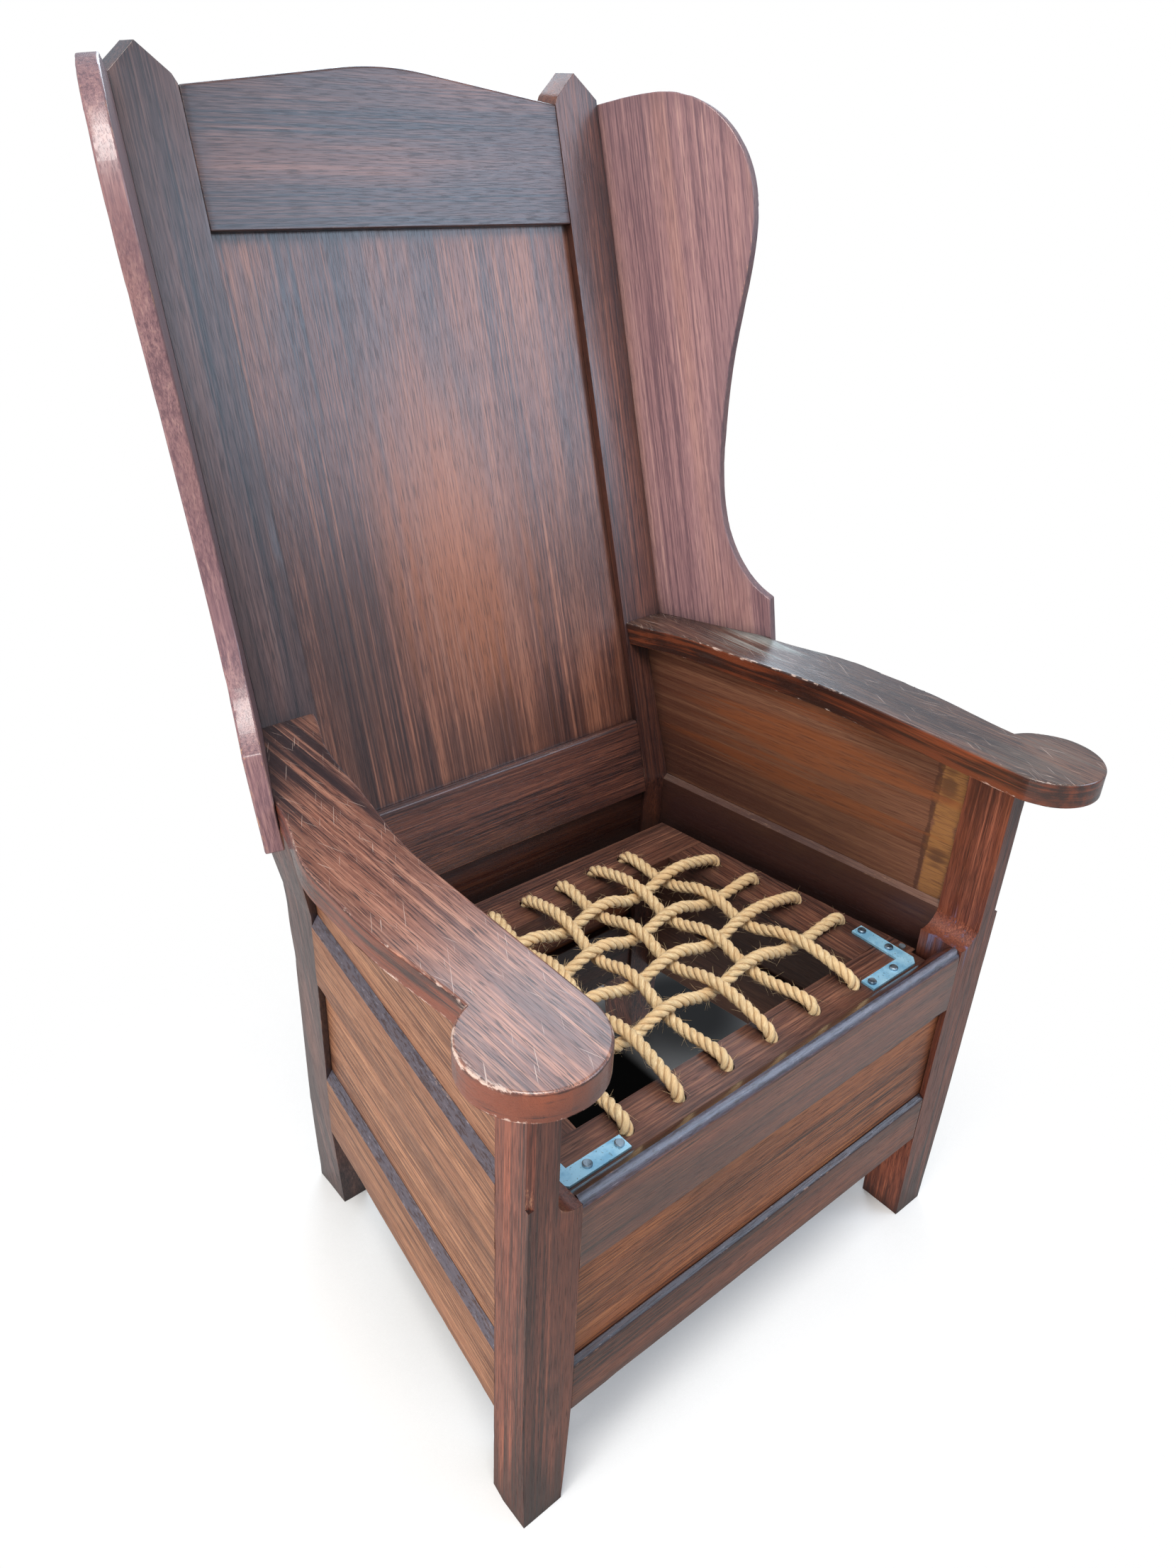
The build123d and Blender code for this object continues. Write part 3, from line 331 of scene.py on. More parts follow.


# wood: colours of each board's finish
# patch: colour of the wide bands; top: painted sky sheen and dust on ledges that look up;
# inner: painted shade on faces inside the chair; side: the board's narrow sides; wear: rubbed edges;
# round: width of the rounded edges

woodLooks = {
    "posts": {
        "dark": paint(48, 22, 18), "mid": paint(108, 58, 45), "light": paint(164, 98, 73),
        "patch": paint(136, 68, 44), "patchShare": 0.5, "wear": paint(176, 128, 98), "wearShare": 0.25,
        "rough": 0.4, "gloss": 0.3, "round": 0.0018,
    },
    "rails": {
        "dark": paint(40, 20, 17), "mid": paint(102, 56, 41), "light": paint(158, 98, 66),
        "patch": paint(126, 62, 40), "patchShare": 0.4, "wear": paint(172, 128, 100), "wearShare": 0.25,
        "top": paint(66, 68, 84), "topShare": 0.8, "inner": paint(34, 18, 18), "innerShadeShare": 0.7,
        "rough": 0.36, "gloss": 0.7,
    },
    "panels": {
        "dark": paint(60, 31, 20), "mid": paint(138, 78, 46), "light": paint(194, 124, 74),
        "patch": paint(166, 92, 48), "patchShare": 0.6, "wear": paint(176, 134, 100), "wearShare": 0.1,
        "rough": 0.44, "gloss": 0.2,
    },
    "sideWood": {
        "dark": paint(84, 52, 38), "mid": paint(134, 92, 68), "light": paint(172, 126, 94),
        "patch": paint(144, 92, 66), "patchShare": 0.4, "wear": paint(190, 150, 116), "wearShare": 0.2,
        "top": paint(72, 74, 86), "topShare": 0.85, "inner": paint(84, 48, 38), "innerShadeShare": 0.55,
        "rough": 0.44, "gloss": 0.2,
    },
    "back": {
        "dark": paint(44, 26, 26), "mid": paint(96, 56, 46), "light": paint(148, 94, 72),
        "patch": paint(132, 74, 46), "patchShare": 0.4, "wear": paint(150, 116, 98), "wearShare": 0.2,
        "rough": 0.38, "gloss": 0.6,
    },
    "wings": {
        "dark": paint(96, 70, 76), "mid": paint(132, 98, 100), "light": paint(164, 128, 122),
        "patch": paint(144, 104, 94), "patchShare": 0.4, "wear": paint(184, 140, 108), "wearShare": 0.3,
        "rough": 0.44, "gloss": 0.5, "round": 0.002,
    },
    "frame": {
        "dark": paint(42, 24, 20), "mid": paint(102, 64, 52), "light": paint(156, 108, 84),
        "patch": paint(108, 62, 44), "patchShare": 0.4, "wear": paint(170, 124, 90), "wearShare": 0.1,
        "rough": 0.46, "gloss": 0.2,
    },
    "cleats": {
        "dark": paint(40, 26, 20), "mid": paint(78, 52, 40), "light": paint(110, 78, 58),
        "patch": paint(90, 58, 42), "patchShare": 0.3, "wear": paint(130, 98, 72), "wearShare": 0.1,
        "rough": 0.6, "gloss": 0.0, "round": 0.001,
    },
}
armWood = {
    "dark": paint(44, 28, 30), "mid": paint(110, 74, 66), "light": paint(188, 140, 118),
    "patch": paint(156, 100, 78), "patchShare": 0.5, "wear": paint(200, 176, 164), "wearShare": 0.5,
    "side": paint(124, 60, 34), "sideDark": paint(48, 24, 18), "sideShare": 0.94,
    "scratches": 0.6, "poreShare": 0.85, "rough": 0.33, "gloss": 0.7, "round": 0.0035,
}


def stainOrPaintedLight(centre, size, tint, share, ragged=1.0, full=0.3, inside=False):
    # an area of another colour, for a real stain or for painted sheen and shade, in metres along, across and
    # through the board;
    # ragged: how much the grain breaks its border; full: where it is solid, as a share of its size
    return {
        "centre": centre, "size": size, "tint": paint(*tint), "share": share,
        "ragged": ragged, "full": full, "inside": inside,
    }


anyWidth = 9    # an area of this size runs over the whole board

# single boards that differ from the rest
woodLooks["lowRail"] = dict(woodLooks["rails"], top=paint(46, 42, 48), gloss=0.25)
woodLooks["midRail"] = dict(
    woodLooks["sideWood"], inner=paint(50, 27, 30), innerShadeShare=0.85, ledgeInside=True,
)
woodLooks["stileLeft"] = dict(
    woodLooks["back"], patchShare=0.2,
    dark=paint(34, 27, 31), mid=paint(74, 54, 54), light=paint(116, 88, 82),
)
woodLooks["crest"] = dict(
    woodLooks["back"], patchShare=0.2,
    dark=paint(40, 31, 37), mid=paint(84, 60, 58), light=paint(130, 96, 88),
)
woodLooks["posts"]["stainsAndPaintedLight"] = [
    stainOrPaintedLight((0.412, 0.235, -0.275), (0.03, 0.035, 0.05), (140, 146, 190), 0.6),    # sheen on the right cove
    stainOrPaintedLight((0.0, 0, 0), (0.10, anyWidth, anyWidth), (36, 20, 18), 0.7),           # feet
    stainOrPaintedLight((0.62, 0, 0), (0.09, anyWidth, anyWidth), (56, 30, 26), 0.5),          # painted shadow under the arms
]
woodLooks["backPanel"] = dict(
    woodLooks["back"], patchShare=0.3,
    dark=paint(54, 34, 33), mid=paint(108, 67, 55), light=paint(160, 108, 86),
    stainsAndPaintedLight=[
        stainOrPaintedLight((0.76, 0.0, 0), (0.20, 0.09, anyWidth), (176, 102, 56), 0.5, ragged=0.55),
        stainOrPaintedLight((1.16, -0.10, 0), (0.16, 0.09, anyWidth), (40, 30, 36), 0.45),
        stainOrPaintedLight((0.66, -0.15, 0), (0.22, 0.05, anyWidth), (40, 27, 27), 0.6, ragged=0.6),
        stainOrPaintedLight((0.55, 0.02, 0), (0.06, 0.20, anyWidth), (50, 28, 25), 0.5, ragged=0.6),
    ],
)
woodLooks["sideUpper"] = dict(woodLooks["sideWood"], stainsAndPaintedLight=[
    # a pale strip beside the front post, with a dark line and two dark spots
    stainOrPaintedLight((-0.272, 0.5, 0), (0.014, 0.30, anyWidth), (204, 146, 78), 0.75, 0.3, 0.9, True),
    stainOrPaintedLight((-0.256, 0.5, 0), (0.0035, 0.30, anyWidth), (36, 25, 22), 0.75, 0.5, 0.6, True),
    stainOrPaintedLight((-0.272, 0.47, 0), (0.014, 0.012, anyWidth), (52, 40, 34), 0.8, 0.8, inside=True),
    stainOrPaintedLight((-0.268, 0.56, 0), (0.009, 0.016, anyWidth), (60, 46, 40), 0.7, 0.8, inside=True),
    # dark and orange areas
    stainOrPaintedLight((0.10, 0.45, 0), (0.10, 0.16, anyWidth), (70, 36, 24), 0.5, inside=True),
    stainOrPaintedLight((0.03, 0.44, 0), (0.22, 0.035, anyWidth), (44, 26, 27), 0.6, 0.6, inside=True),
    stainOrPaintedLight((-0.10, 0.52, 0), (0.13, 0.05, anyWidth), (190, 108, 56), 0.6, inside=True),
])
woodLooks["armRight"] = dict(
    armWood, patch=paint(96, 58, 42),
    dark=paint(34, 24, 22), mid=paint(84, 58, 48), light=paint(140, 104, 82),
    stainsAndPaintedLight=[
        # painted sheen at the back of the arm's top
        stainOrPaintedLight((0.06, 0.30, 0), (0.075, 0.06, anyWidth), (182, 190, 184), 0.7),
        stainOrPaintedLight((-0.31, 0.30, 0), (0.06, 0.08, anyWidth), (120, 104, 92), 0.4),
    ],
)
woodLooks["armLeft"] = dict(armWood, stainsAndPaintedLight=[
    # painted shadow of the wing on the arm's back end
    stainOrPaintedLight((0.13, -0.30, 0), (0.13, 0.10, anyWidth), (32, 27, 33), 0.92),
    stainOrPaintedLight((-0.33, -0.30, 0), (0.07, 0.09, anyWidth), (84, 62, 64), 0.45),
])


# wood: the figure, dirt, wear and painted shade and sheen that all boards share

grainNoise = {
    # repeats in a metre along, across and through the board, detail, roughness and distortion
    "cloud": ((2.4, 10.0, 10.0), 3.0, 0.55, 0.0),        # slow changes of tone
    "band": ((0.8, 24.0, 24.0), 2.0, 0.5, 0.0),          # long bands
    "figure": ((1.6, 120.0, 120.0), 2.0, 0.5, 0.1),
    "line": ((4.5, 430.0, 430.0), 3.0, 0.6, 0.0),        # fine lines
    "pore": ((45.0, 1150.0, 1150.0), 1.0, 0.5, 0.0),
    "layers": ((7.0, 7.0, 240.0), 3.0, 0.55, 0.3),       # on the narrow sides
    "spots": ((90.0, 420.0, 420.0), 4.0, 0.75, 0.0),
    "patches": ((9.0, 22.0, 22.0), 3.0, 0.55, 0.0),      # worn and less worn lengths
    "scratch": ((22.0, 900.0, 60.0), 1.0, 0.55, 0.0),
    "wave": ((8.0, 24.0, 24.0), 2.0, 0.55, 0.0),         # hand-planed unevenness
}
grainLook = {
    # from dark to mid and from mid to light, by a tone mixed of bands, figure and lines
    "toneShares": {"band": 0.25, "figure": 0.2, "line": 0.55},
    "toMid": (0.4, 0.5), "toLight": (0.5, 0.63), "toPatch": (0.45, 0.62),
    "darkCloud": (0.5, 0.3), "darkCloudShare": 0.65,
    "pore": (0.56, 0.66), "poreShare": 0.6,
    "glint": (0.42, 0.32), "glintShare": 0.35,
    # the border of a stained or painted area, broken by the same noises
    "areaBreak": {"band": 2.6, "figure": 3.0, "line": 1.6},
    "areaEnd": 1.2, "areaPoreShare": 0.6, "areaInside": (0.3, 0.7),
    # narrow sides of the arms
    "flank": (0.5, 0.1), "flankShares": {"layers": 0.45, "figure": 0.2, "cloud": 0.35},
    "toSide": (0.43, 0.57), "inside": (0.3, 0.8),
}
wearLook = {
    "hollowReach": 0.03, "hollowSamples": 4,
    # millimetres from an edge where grime gathers, and how far spots shift that
    "grime": (22.0, 2.0), "grimeSpots": 14, "grimeShare": 0.35,
    # painted shade, near black, in hollows and joints, broken up by spots
    "hollowShade": paint(26, 14, 13), "hollowShadeFade": (0.85, 0.35), "hollowShadeSpots": 0.3, "hollowShadeShare": 0.8,
    # ledges and bevels that look up get a painted blue-grey sky sheen, greyed further by dust and old polish
    "ledge": (0.2, 0.5), "ledgeLines": 0.3, "ledgeOutside": (0.45, 0.1),
    "ledgeDark": paint(38, 32, 35), "ledgeDarkFade": (0.5, 0.4), "ledgeDarkShare": 0.8,
    "ledgePale": paint(150, 148, 158), "ledgePaleFade": (0.6, 0.68), "ledgePaleShare": 0.45,
    # thin scratches that cross the grain both ways, on faces that look up
    "scratchTurns": (-0.5, 0.35), "scratch": (0.71, 0.76), "scratchUp": (0.85, 0.97),
    # millimetres from an edge that are rubbed down: most on a board worn all over, and least
    "rubReach": 6.0, "rubLeast": -1.0, "rubPatches": (0.36, 0.7), "rubSpots": 12, "rubFade": (0.0, 2.5),
    "rubHollow": (0.7, 0.9), "rubShare": 0.35, "rubMost": 0.8,
}
coatLook = {
    "poreRough": 0.15, "rubRough": 0.2, "cloudRough": 0.3, "lineRough": 0.3,
    "lineHeight": 0.6, "poreDepth": 1.2, "figureHeight": 0.5, "grainBump": (0.4, 0.0005),
    "waveBump": (0.3, 0.0015), "coatRough": 0.24, "coatBend": 1.6, "bend": 1.5,
}


class WoodFinish:
    # one finish, built up in layers of colour on the grain of a board
    def __init__(self, name, look):
        self.shader = newShader(name)
        self.look = look
        self.grain = self.shader.attribute("grain")              # along, across, through the board
        self.place = self.shader.attribute("place")
        self.edge = self.shader.attribute("edge", "Fac") * 1000  # millimetres to the nearest edge
        self.inside = self.shader.attribute("inner", "Fac")      # how far a face looks into the chair
        self.rise = self.shader.axis(self.shader.node("NewGeometry", output="Normal"), 2)
        self.noises = {kind: self.drawn(kind) for kind in ("cloud", "band", "figure", "line", "spots")}
        pore = self.drawn("pore")
        self.pores = self.shader.fade(pore, *grainLook["pore"])
        self.glint = self.shader.fade(pore, *grainLook["glint"])
        samples = {"samples": wearLook["hollowSamples"]}
        reach = {"Distance": wearLook["hollowReach"]}
        self.hollow = self.shader.node("AmbientOcclusion", samples, reach, output="AO")

    def drawn(self, name, grain=None):
        stretch, detail, rough, distortion = grainNoise[name]
        vector = self.shader.stretched(grain or self.grain, stretch)
        return self.shader.noise(vector, detail=detail, rough=rough, distortion=distortion)

    def mixed(self, shares, centre=0.0):
        # the sum of some noises, each times its share
        total = None
        for name, share in shares.items():
            part = (self.noises[name] - centre) * share if centre else self.noises[name] * share
            total = total + part if total else part
        return total

    def cover(self, mask, colour):
        self.base = self.shader.blend(mask, self.base, colour)

    def addGrain(self):
        look, fade = self.look, self.shader.fade
        tone = self.mixed(grainLook["toneShares"])
        self.base = self.shader.blend(fade(tone, *grainLook["toMid"]), look["dark"], look["mid"])
        self.cover(fade(tone, *grainLook["toLight"]), look["light"])
        self.cover(fade(self.noises["band"], *grainLook["toPatch"]) * look["patchShare"], look["patch"])
        clouded = fade(self.noises["cloud"], *grainLook["darkCloud"])
        self.cover(clouded * grainLook["darkCloudShare"], look["dark"])
        self.cover(self.glint * grainLook["glintShare"], look["light"])
        self.cover(self.pores * look.get("poreShare", grainLook["poreShare"]), look["dark"])

    def addStainsAndPaintedLight(self):
        for area in self.look.get("stainsAndPaintedLight", ()):
            away = self.shader.vector("SUBTRACT", (self.place, area["centre"]))
            away = self.shader.vector("DIVIDE", (away, area["size"]))
            away = self.shader.vector("LENGTH", (away,), "Value")
            broken = away + self.mixed(grainLook["areaBreak"], 0.5) * area["ragged"]
            mask = self.shader.fade(broken, grainLook["areaEnd"], area["full"]) * area["share"]
            if area["inside"]:
                mask = mask * self.shader.fade(self.inside, *grainLook["areaInside"])
            self.cover(mask * (1.0 - self.pores * grainLook["areaPoreShare"]), area["tint"])

    def addSides(self):
        look, fade = self.look, self.shader.fade
        if "side" in look:
            # the narrow sides, which look neither up nor down, get their own colour
            self.noises["layers"] = self.drawn("layers")
            stained = fade(self.mixed(grainLook["flankShares"]), *grainLook["toSide"])
            stained = self.shader.blend(stained, look["sideDark"], look["side"])
            self.cover(fade(self.rise * self.rise, *grainLook["flank"]) * look["sideShare"], stained)
        # painted shade on faces that look into the chair
        if "inner" in look:
            self.cover(fade(self.inside, *grainLook["inside"]) * look["innerShadeShare"], look["inner"])

    def addDirtShadeAndSheen(self):
        look, fade, spots = self.look, self.shader.fade, self.noises["spots"] - 0.5
        grime = fade(self.edge + spots * wearLook["grimeSpots"], *wearLook["grime"])
        self.cover(grime * wearLook["grimeShare"], look["dark"])
        # painted shade where the hollows are deep
        hollowShade = fade(self.hollow + spots * wearLook["hollowShadeSpots"], *wearLook["hollowShadeFade"])
        self.cover(hollowShade * wearLook["hollowShadeShare"], wearLook["hollowShade"])
        # painted sky sheen with dust, on ledges that look up and face out of the chair
        if "top" in look:
            line = (self.noises["line"] - 0.5) * wearLook["ledgeLines"]
            ledge = fade(self.rise + line, *wearLook["ledge"])
            ledge = ledge * fade(self.inside, *wearLook["ledgeOutside"]) * look["topShare"]
            dark = fade(self.noises["spots"], *wearLook["ledgeDarkFade"]) * wearLook["ledgeDarkShare"]
            greyed = self.shader.blend(dark, look["top"], wearLook["ledgeDark"])
            pale = fade(self.noises["spots"], *wearLook["ledgePaleFade"]) * wearLook["ledgePaleShare"]
            self.cover(ledge, self.shader.blend(pale, greyed, wearLook["ledgePale"]))

    def addWear(self):
        look, fade, spots = self.look, self.shader.fade, self.noises["spots"] - 0.5
        if "scratches" in look:
            for turn in wearLook["scratchTurns"]:
                sockets = {"Vector": self.grain, "Angle": turn}
                turned = self.shader.node("VectorRotate", {"rotation_type": "Z_AXIS"}, sockets)
                mask = fade(self.drawn("scratch", turned), *wearLook["scratch"])
                mask = mask * fade(self.rise, *wearLook["scratchUp"]) * look["scratches"]
                self.cover(mask, look["wear"])
        most = wearLook["rubReach"] * look["wearShare"]
        reach = fade(self.drawn("patches"), *wearLook["rubPatches"], wearLook["rubLeast"], most)
        reach = reach + spots * wearLook["rubSpots"]
        rubbed = fade(reach - self.edge, *wearLook["rubFade"])
        self.rubbed = rubbed * fade(self.hollow, *wearLook["rubHollow"])
        share = min(wearLook["rubMost"], wearLook["rubShare"] + look["wearShare"])
        self.cover(self.rubbed * share, look["wear"])

    def finish(self):
        shader, noises = self.shader, self.noises
        rough = self.look["rough"] + self.pores * coatLook["poreRough"] + self.rubbed * coatLook["rubRough"]
        rough = rough + (noises["cloud"] - 0.5) * coatLook["cloudRough"]
        rough = rough + (noises["line"] - 0.5) * coatLook["lineRough"]
        height = noises["line"] * coatLook["lineHeight"] - self.pores * coatLook["poreDepth"]
        height = height + noises["figure"] * coatLook["figureHeight"]
        normal = shader.bump(height, *coatLook["grainBump"])
        normal = shader.bump(self.drawn("wave"), *coatLook["waveBump"], normal)
        return shader.finish({
            "Base Color": self.base, "Roughness": rough, "Normal": normal, "IOR": coatLook["bend"],
            "Coat Weight": self.look["gloss"], "Coat Roughness": coatLook["coatRough"],
            "Coat IOR": coatLook["coatBend"],
        })


def makeWood(name, look):
    wood = WoodFinish(name, look)
    wood.addGrain()
    wood.addStainsAndPaintedLight()
    wood.addSides()
    wood.addDirtShadeAndSheen()
    wood.addWear()
    return wood.finish()


woods = {name: makeWood(name, look) for name, look in woodLooks.items()}
print("wood finishes are made")


# each board: its finish, the direction of its grain and the direction across its face

lean = 0.292          # of the back, for each length of height
splay = 0.126         # of the sides, for each length of depth
flare = 0.417         # of the wings, for each length forward

acrossX = Vector((1, 0, 0))
backY = Vector((0, 1, 0))
upZ = Vector((0, 0, 1))
upBack = Vector((0, lean, 1)).normalized()

boards = {
    "back_crest_rail": ("crest", acrossX, upBack),
    "back_panel": ("backPanel", upBack, acrossX),
    "back_bottom_rail": ("back", acrossX, upBack),
    "back_post_left": ("stileLeft", upBack, acrossX),
    "back_post_right": ("back", upBack, acrossX),
    "base_back_rail": ("rails", acrossX, upZ),
    "base_back_panel": ("panels", acrossX, upZ),
    "base_back_bottom_rail": ("lowRail", acrossX, upZ),
    "front_seat_rail": ("rails", acrossX, upZ),
    "front_panel": ("panels", acrossX, upZ),
    "front_bottom_rail": ("lowRail", acrossX, upZ),
    "arm_left": ("armLeft", backY, acrossX),
    "arm_right": ("armRight", backY, acrossX),
    "seat_cleat_front": ("cleats", acrossX, upZ),
    "seat_cleat_back": ("cleats", acrossX, upZ),
    "seat_frame_front": ("frame", acrossX, backY),
    "seat_frame_back": ("frame", acrossX, backY),
}
for side, sign in {"left": -1, "right": 1}.items():
    alongSide = Vector((-sign * splay, 1, 0)).normalized()
    acrossWing = Vector((sign * flare, -1, 0)).normalized()
    boards[f"front_post_{side}"] = ("posts", upZ, acrossX)
    boards[f"side_mid_rail_{side}"] = ("midRail", alongSide, upZ)
    boards[f"side_bottom_rail_{side}"] = ("sideWood", alongSide, upZ)
    boards[f"side_lower_panel_{side}"] = ("sideWood", alongSide, upZ)
    boards[f"side_upper_panel_{side}"] = ("sideUpper", alongSide, upZ)
    boards[f"wing_{side}"] = ("wings", upBack, acrossWing)
    boards[f"seat_cleat_{side}"] = ("cleats", alongSide, upZ)
    boards[f"seat_frame_{side}"] = ("frame", backY, acrossX)

dressLook = {
    "weld": 2e-6, "flat": math.radians(0.6),
    "sharp": math.radians(24),        # a turn that counts as an edge
    "markGap": 0.003,                 # between the points that mark an edge
    "round": 0.0014,                  # width of the rounded edge, where a look gives none
    "segments": 2, "profile": 0.55,
    "grid": 0.012,                    # spacing of the points that carry wear
    "onPlane": 1e-6,                  # a point this near to a cutting plane lies on it
    "knockReach": 1.1,                # in widths of the rounded edge
    "dent": 0.0009,                   # how deep the knocks along an edge go
    "dentSize": 0.035, "dentFrom": 0.1,
    "dentSmall": 0.4, "dentSmallDepth": 0.5,    # smaller knocks, as shares of the others
    "dentShift": (3.1, 1.7, 0.9), "grainShift": (1.37, 2.11, 0.73),    # from one board to the next
    "middleY": -0.06,                 # the chair's inside is towards this line at x = 0
    "ledge": 0.3,                     # rise of a face that counts as a ledge
    "weight": 90,
}


def isSharp(edge):
    return len(edge.link_faces) == 2 and edge.calc_face_angle(0) > dressLook["sharp"]


def edgeMarks(edges):
    # a search tree of points along the edges
    marks = []
    for edge in edges:
        first, second = (vertex.co.copy() for vertex in edge.verts)
        count = max(1, int((second - first).length / dressLook["markGap"]))
        marks.extend(first.lerp(second, step / count) for step in range(count + 1))
    nearest = KDTree(len(marks))
    for index, mark in enumerate(marks):
        nearest.insert(mark, index)
    nearest.balance()
    return nearest


def cutGrid(work, directions):
    # cuts the faces along planes square to each direction
    for direction in directions:
        reach = [vertex.co.dot(direction) for vertex in work.verts]
        low, high = min(reach), max(reach)
        count = int((high - low) / dressLook["grid"])
        for number in range(count):
            place = low + (high - low) * (number + 0.5) / count
            bmesh.ops.bisect_plane(
                work, geom=work.verts[:] + work.edges[:] + work.faces[:],
                dist=dressLook["onPlane"], plane_co=direction * place, plane_no=direction,
            )


def knock(work, nearest, width, ledgeInside, number):
    # dents along the rounded edges; gives each point's distance to an edge and its inward turn
    distances = []
    inner = []
    size = dressLook["dentSize"]
    small = size * dressLook["dentSmall"]
    seed = Vector([number * shift for shift in dressLook["dentShift"]])
    middle = sum((vertex.co for vertex in work.verts), Vector()) / len(work.verts)
    for vertex in work.verts:
        centre = Vector((-vertex.co.x, dressLook["middleY"] - vertex.co.y, 0)).normalized()
        facing = max(0.0, vertex.normal.dot(centre))
        if ledgeInside and vertex.normal.z > dressLook["ledge"] and (vertex.co - middle).dot(centre) > 0:
            facing = 1.0
        inner.append(facing)
        distance = nearest.find(vertex.co)[2]
        distances.append(distance)
        if distance < width * dressLook["knockReach"]:
            depth = noise.noise(vertex.co / size + seed)
            depth += dressLook["dentSmallDepth"] * noise.noise(vertex.co / small + seed)
            vertex.co -= vertex.normal * dressLook["dent"] * max(0.0, depth - dressLook["dentFrom"])
    return distances, inner


def store(mesh, name, kind, field, values):
    made = mesh.attributes.new(name, kind, "POINT")
    made.data.foreach_set(field, values)


def wornCopy(node, lookName, along, across, number):
    look = woodLooks[lookName]
    source = nodes[node]
    mesh = source.data.copy()
    mesh.name = node + "_worn"
    work = bmesh.new()
    work.from_mesh(mesh)
    bmesh.ops.remove_doubles(work, verts=work.verts, dist=dressLook["weld"])
    bmesh.ops.dissolve_limit(work, angle_limit=dressLook["flat"], verts=work.verts, edges=work.edges)
    sharp = [edge for edge in work.edges if isSharp(edge)]
    nearest = edgeMarks(sharp)
    width = look.get("round", dressLook["round"])
    bmesh.ops.bevel(
        work, geom=sharp, offset=width, offset_type="OFFSET", segments=dressLook["segments"],
        profile=dressLook["profile"], affect="EDGES", clamp_overlap=True,
    )
    through = along.cross(across).normalized()
    across = through.cross(along).normalized()
    cutGrid(work, (along, across, through))
    work.normal_update()
    distances, inner = knock(work, nearest, width, look.get("ledgeInside", False), number)
    for face in work.faces:
        face.smooth = True
    work.to_mesh(mesh)
    work.free()
    mesh.materials.clear()
    mesh.materials.append(woods[lookName])
    piece = bpy.data.objects.new(node + "_worn", mesh)
    scene.collection.objects.link(piece)

    # grain coordinates follow the board, and every board has its own stretch of tree
    shift = Vector([number * step for step in dressLook["grainShift"]])
    spots = [
        Vector((vertex.co.dot(along), vertex.co.dot(across), vertex.co.dot(through)))
        for vertex in mesh.vertices
    ]
    store(mesh, "place", "FLOAT_VECTOR", "vector", [value for spot in spots for value in spot])
    store(mesh, "grain", "FLOAT_VECTOR", "vector", [value for spot in spots for value in spot + shift])
    store(mesh, "edge", "FLOAT", "value", distances)
    store(mesh, "inner", "FLOAT", "value", inner)
    even = piece.modifiers.new("even", "WEIGHTED_NORMAL")
    even.weight = dressLook["weight"]
    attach(piece, source["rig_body"])
    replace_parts(piece, node)


for number, (node, (lookName, along, across)) in enumerate(sorted(boards.items()), 1):
    wornCopy(node, lookName, along, across, number)
print("boards are worn")


# the seat's two ropes

rope = {
    "diameter": 0.0135,
    "strands": 3,
    "strandShare": 0.53,       # a strand's diameter for the rope's
    "turn": 0.030,             # length of rope in one turn of a strand
    "step": 0.0019,
    "sides": 10,
    "wobble": 0.05, "wobbleRate": 60, "wobbleShift": 7.0,
    "start": 1.3,              # radians by which the second rope's strands start further round
    "frontY": -0.24967, "backY": 0.06433,
    "frontX": (-0.15694, -0.09405, -0.03097, 0.03097, 0.09405, 0.15694),
    "backX": (-0.12096, -0.073, -0.02402, 0.02402, 0.073, 0.12096),
    # half width and y of each string from side to side
    "rows": ((0.20402, -0.00579), (0.21324, -0.05976), (0.22366, -0.11476), (0.23306, -0.16976)),
    "frameTop": 0.372, "frameBottom": 0.350,
    "weave": 0.0105,           # mean height of the strings above the frame
    "exits": ((-0.006, 0.0), (0.003, 0.0), (0.010, 0.010)),    # height over the frame and way inwards
    "knotLength": 0.0215, "knotSteps": 8,
    "knotSpread": (0.7, 0.75), "knotThick": (0.75, 0.55),      # at its ends, and more in the middle
}


def stringX(index, y):
    run = (y - rope["frontY"]) / (rope["backY"] - rope["frontY"])
    return rope["frontX"][index] + (rope["backX"][index] - rope["frontX"][index]) * run


def crossingHeight(over):
    return rope["frameTop"] + rope["weave"] + (rope["diameter"] if over else -rope["diameter"])


def upFromHole(hole, inward):
    # out of a hole and over towards the middle of the seat
    x, y = hole
    return [Vector((x, y, rope["frameTop"] + rise)) + inward * way for rise, way in rope["exits"]]


def lengthwiseString(index):
    front = Vector((rope["frontX"][index], rope["frontY"], 0))
    back = Vector((rope["backX"][index], rope["backY"], 0))
    way = (back - front).normalized()
    points = upFromHole(front[:2], way)
    for row in reversed(range(len(rope["rows"]))):
        y = rope["rows"][row][1]
        points.append(Vector((stringX(index, y), y, crossingHeight((index + row) % 2 == 0))))
    return points + list(reversed(upFromHole(back[:2], -way)))


def crosswiseString(row):
    reach, y = rope["rows"][row]
    points = upFromHole((-reach, y), Vector((1, 0, 0)))
    for index in range(len(rope["frontX"])):
        points.append(Vector((stringX(index, y), y, crossingHeight((index + row) % 2 == 1))))
    return points + list(reversed(upFromHole((reach, y), Vector((-1, 0, 0)))))


def laced(strings):
    # one rope up and down through the holes, with short runs under the frame
    route = []
    under = rope["frameBottom"] - rope["diameter"]
    for number, points in enumerate(strings):
        ordered = points if number % 2 == 0 else list(reversed(points))
        start, stop = ordered[0], ordered[-1]
        low = rope["frameBottom"] if number == 0 else under
        route.append(Vector((start.x, start.y, low)))
        route.extend(ordered)
        low = rope["frameBottom"] if number == len(strings) - 1 else under
        route.append(Vector((stop.x, stop.y, low)))
    return route


